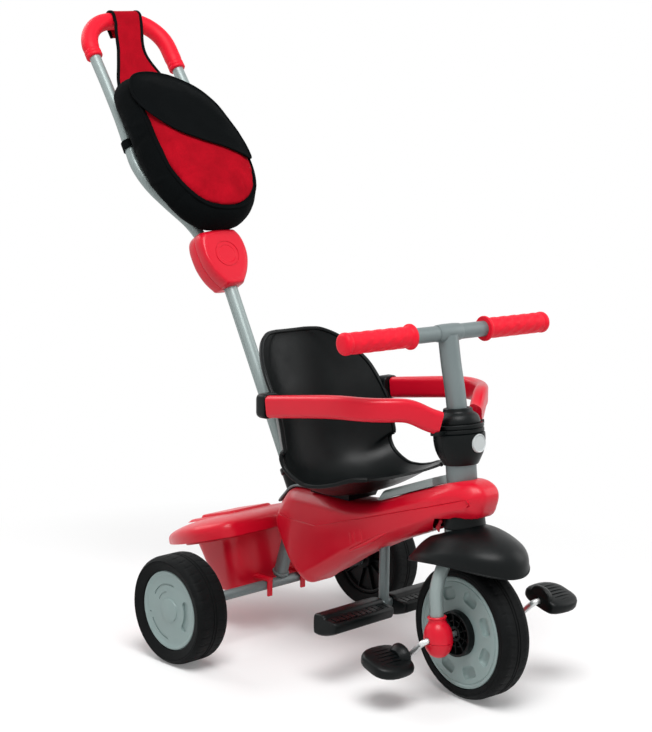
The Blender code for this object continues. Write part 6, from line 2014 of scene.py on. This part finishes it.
def strap():
    """The red strap: flared at the bag, waisted, and folded over the grip."""
    rows = [tuple(row) for row in smooth_run([Vector(row) for row in STRAP], 4)]
    for k in range(25):
        angle = math.radians(180 - 180 * k / 24)
        rows.append((STRAP_TOP + STRAP_ROUND * math.sin(angle), STRAP_ROUND * math.cos(angle),
                     STRAP_LEFT - 0.0025 * (1 - k / 24), STRAP_RIGHT))
    for height, y in ((0.466, 0.0178), (0.452, 0.0182)):
        rows.append((height, y, STRAP_LEFT, STRAP_RIGHT))
    across = 16
    grid = []
    for i, (z, y, left, right) in enumerate(rows):
        line = []
        for k in range(across + 1):
            v = k / across
            x = left + (right - left) * v
            cup = 0.0016 * math.sin(math.pi * v) * (1 if i < STRAP_FREE_ROWS else 0.2)
            ripple = 0.0005 * noise.noise(Vector((x * 50.0, z * 50.0, 1.7)))
            line.append(Vector((x, y + cup + ripple, z)))
        grid.append(line)
    mesh = loft_mesh(grid, False, False, cyclic=False)
    made = place("strap_cloth", mesh, "red_fabric", "push_handle", LOOP, 0.0,
                 replaced=("bag_strap",))
    thicken(made, 0.0016, 0.0)
    bake(made, 0.0)
    section = rounded_box(0.0029, 0.0017, 0.0014, 3)
    for name, column in (("right", 0), ("left", across)):
        run = [line[column] for line in grid]
        rings = []
        for i, here in enumerate(run):
            ahead = (run[min(i + 1, len(run) - 1)] - run[max(i - 1, 0)]).normalized()
            side = Vector((1.0, 0.0, 0.0))
            side = (side - ahead * side.dot(ahead)).normalized()
            out = ahead.cross(side).normalized()
            rings.append([here + side * x + out * y for x, y in section])
        place("strap_binding_" + name, loft_mesh(rings), "black_fabric",
                              "push_handle", LOOP, 60.0)


TAPE_Z = 0.212
TAPE_X = 0.0845
TAPE_HALF = 0.008


def tape(side_name):
    """A tape sewn round the riser."""
    side = SIDES[side_name]
    lean = Matrix.Rotation(-side * math.radians(4.0), 4, "Y")
    matrix = LOOP @ Matrix.Translation((side * TAPE_X, 0.0, TAPE_Z)) @ lean
    rings = []
    for height in (-1.0, -0.6, -0.2, 0.2, 0.6, 1.0):
        ring = []
        for k in range(64):
            angle = 2 * math.pi * k / 64
            slack = 0.0112 + 0.0007 * max(0.0, math.cos(angle + 1.2)) * (1 - height * height * 0.4)
            where = Vector((math.cos(angle) * 3, math.sin(angle) * 3, height * 2))
            slack += 0.0003 * noise.noise(where)
            ring.append((slack * math.cos(angle), slack * math.sin(angle), TAPE_HALF * height))
        rings.append(ring)
    mesh = loft_mesh(rings, False, False)
    name = "bag_tape_" + side_name
    made = place("tape_cloth_" + side_name, mesh, "black_fabric", "push_handle", matrix, 0.0,
                 replaced=(name,))
    thicken(made, 0.0014, 1.0)
    bake(made, 40.0)


stuffed = [bag_sides(), bag_pouch()]
seam_piping(front_reader(stuffed[:1]))
flap(front_reader(stuffed))
strap()
for side_name in SIDES:
    tape(side_name)
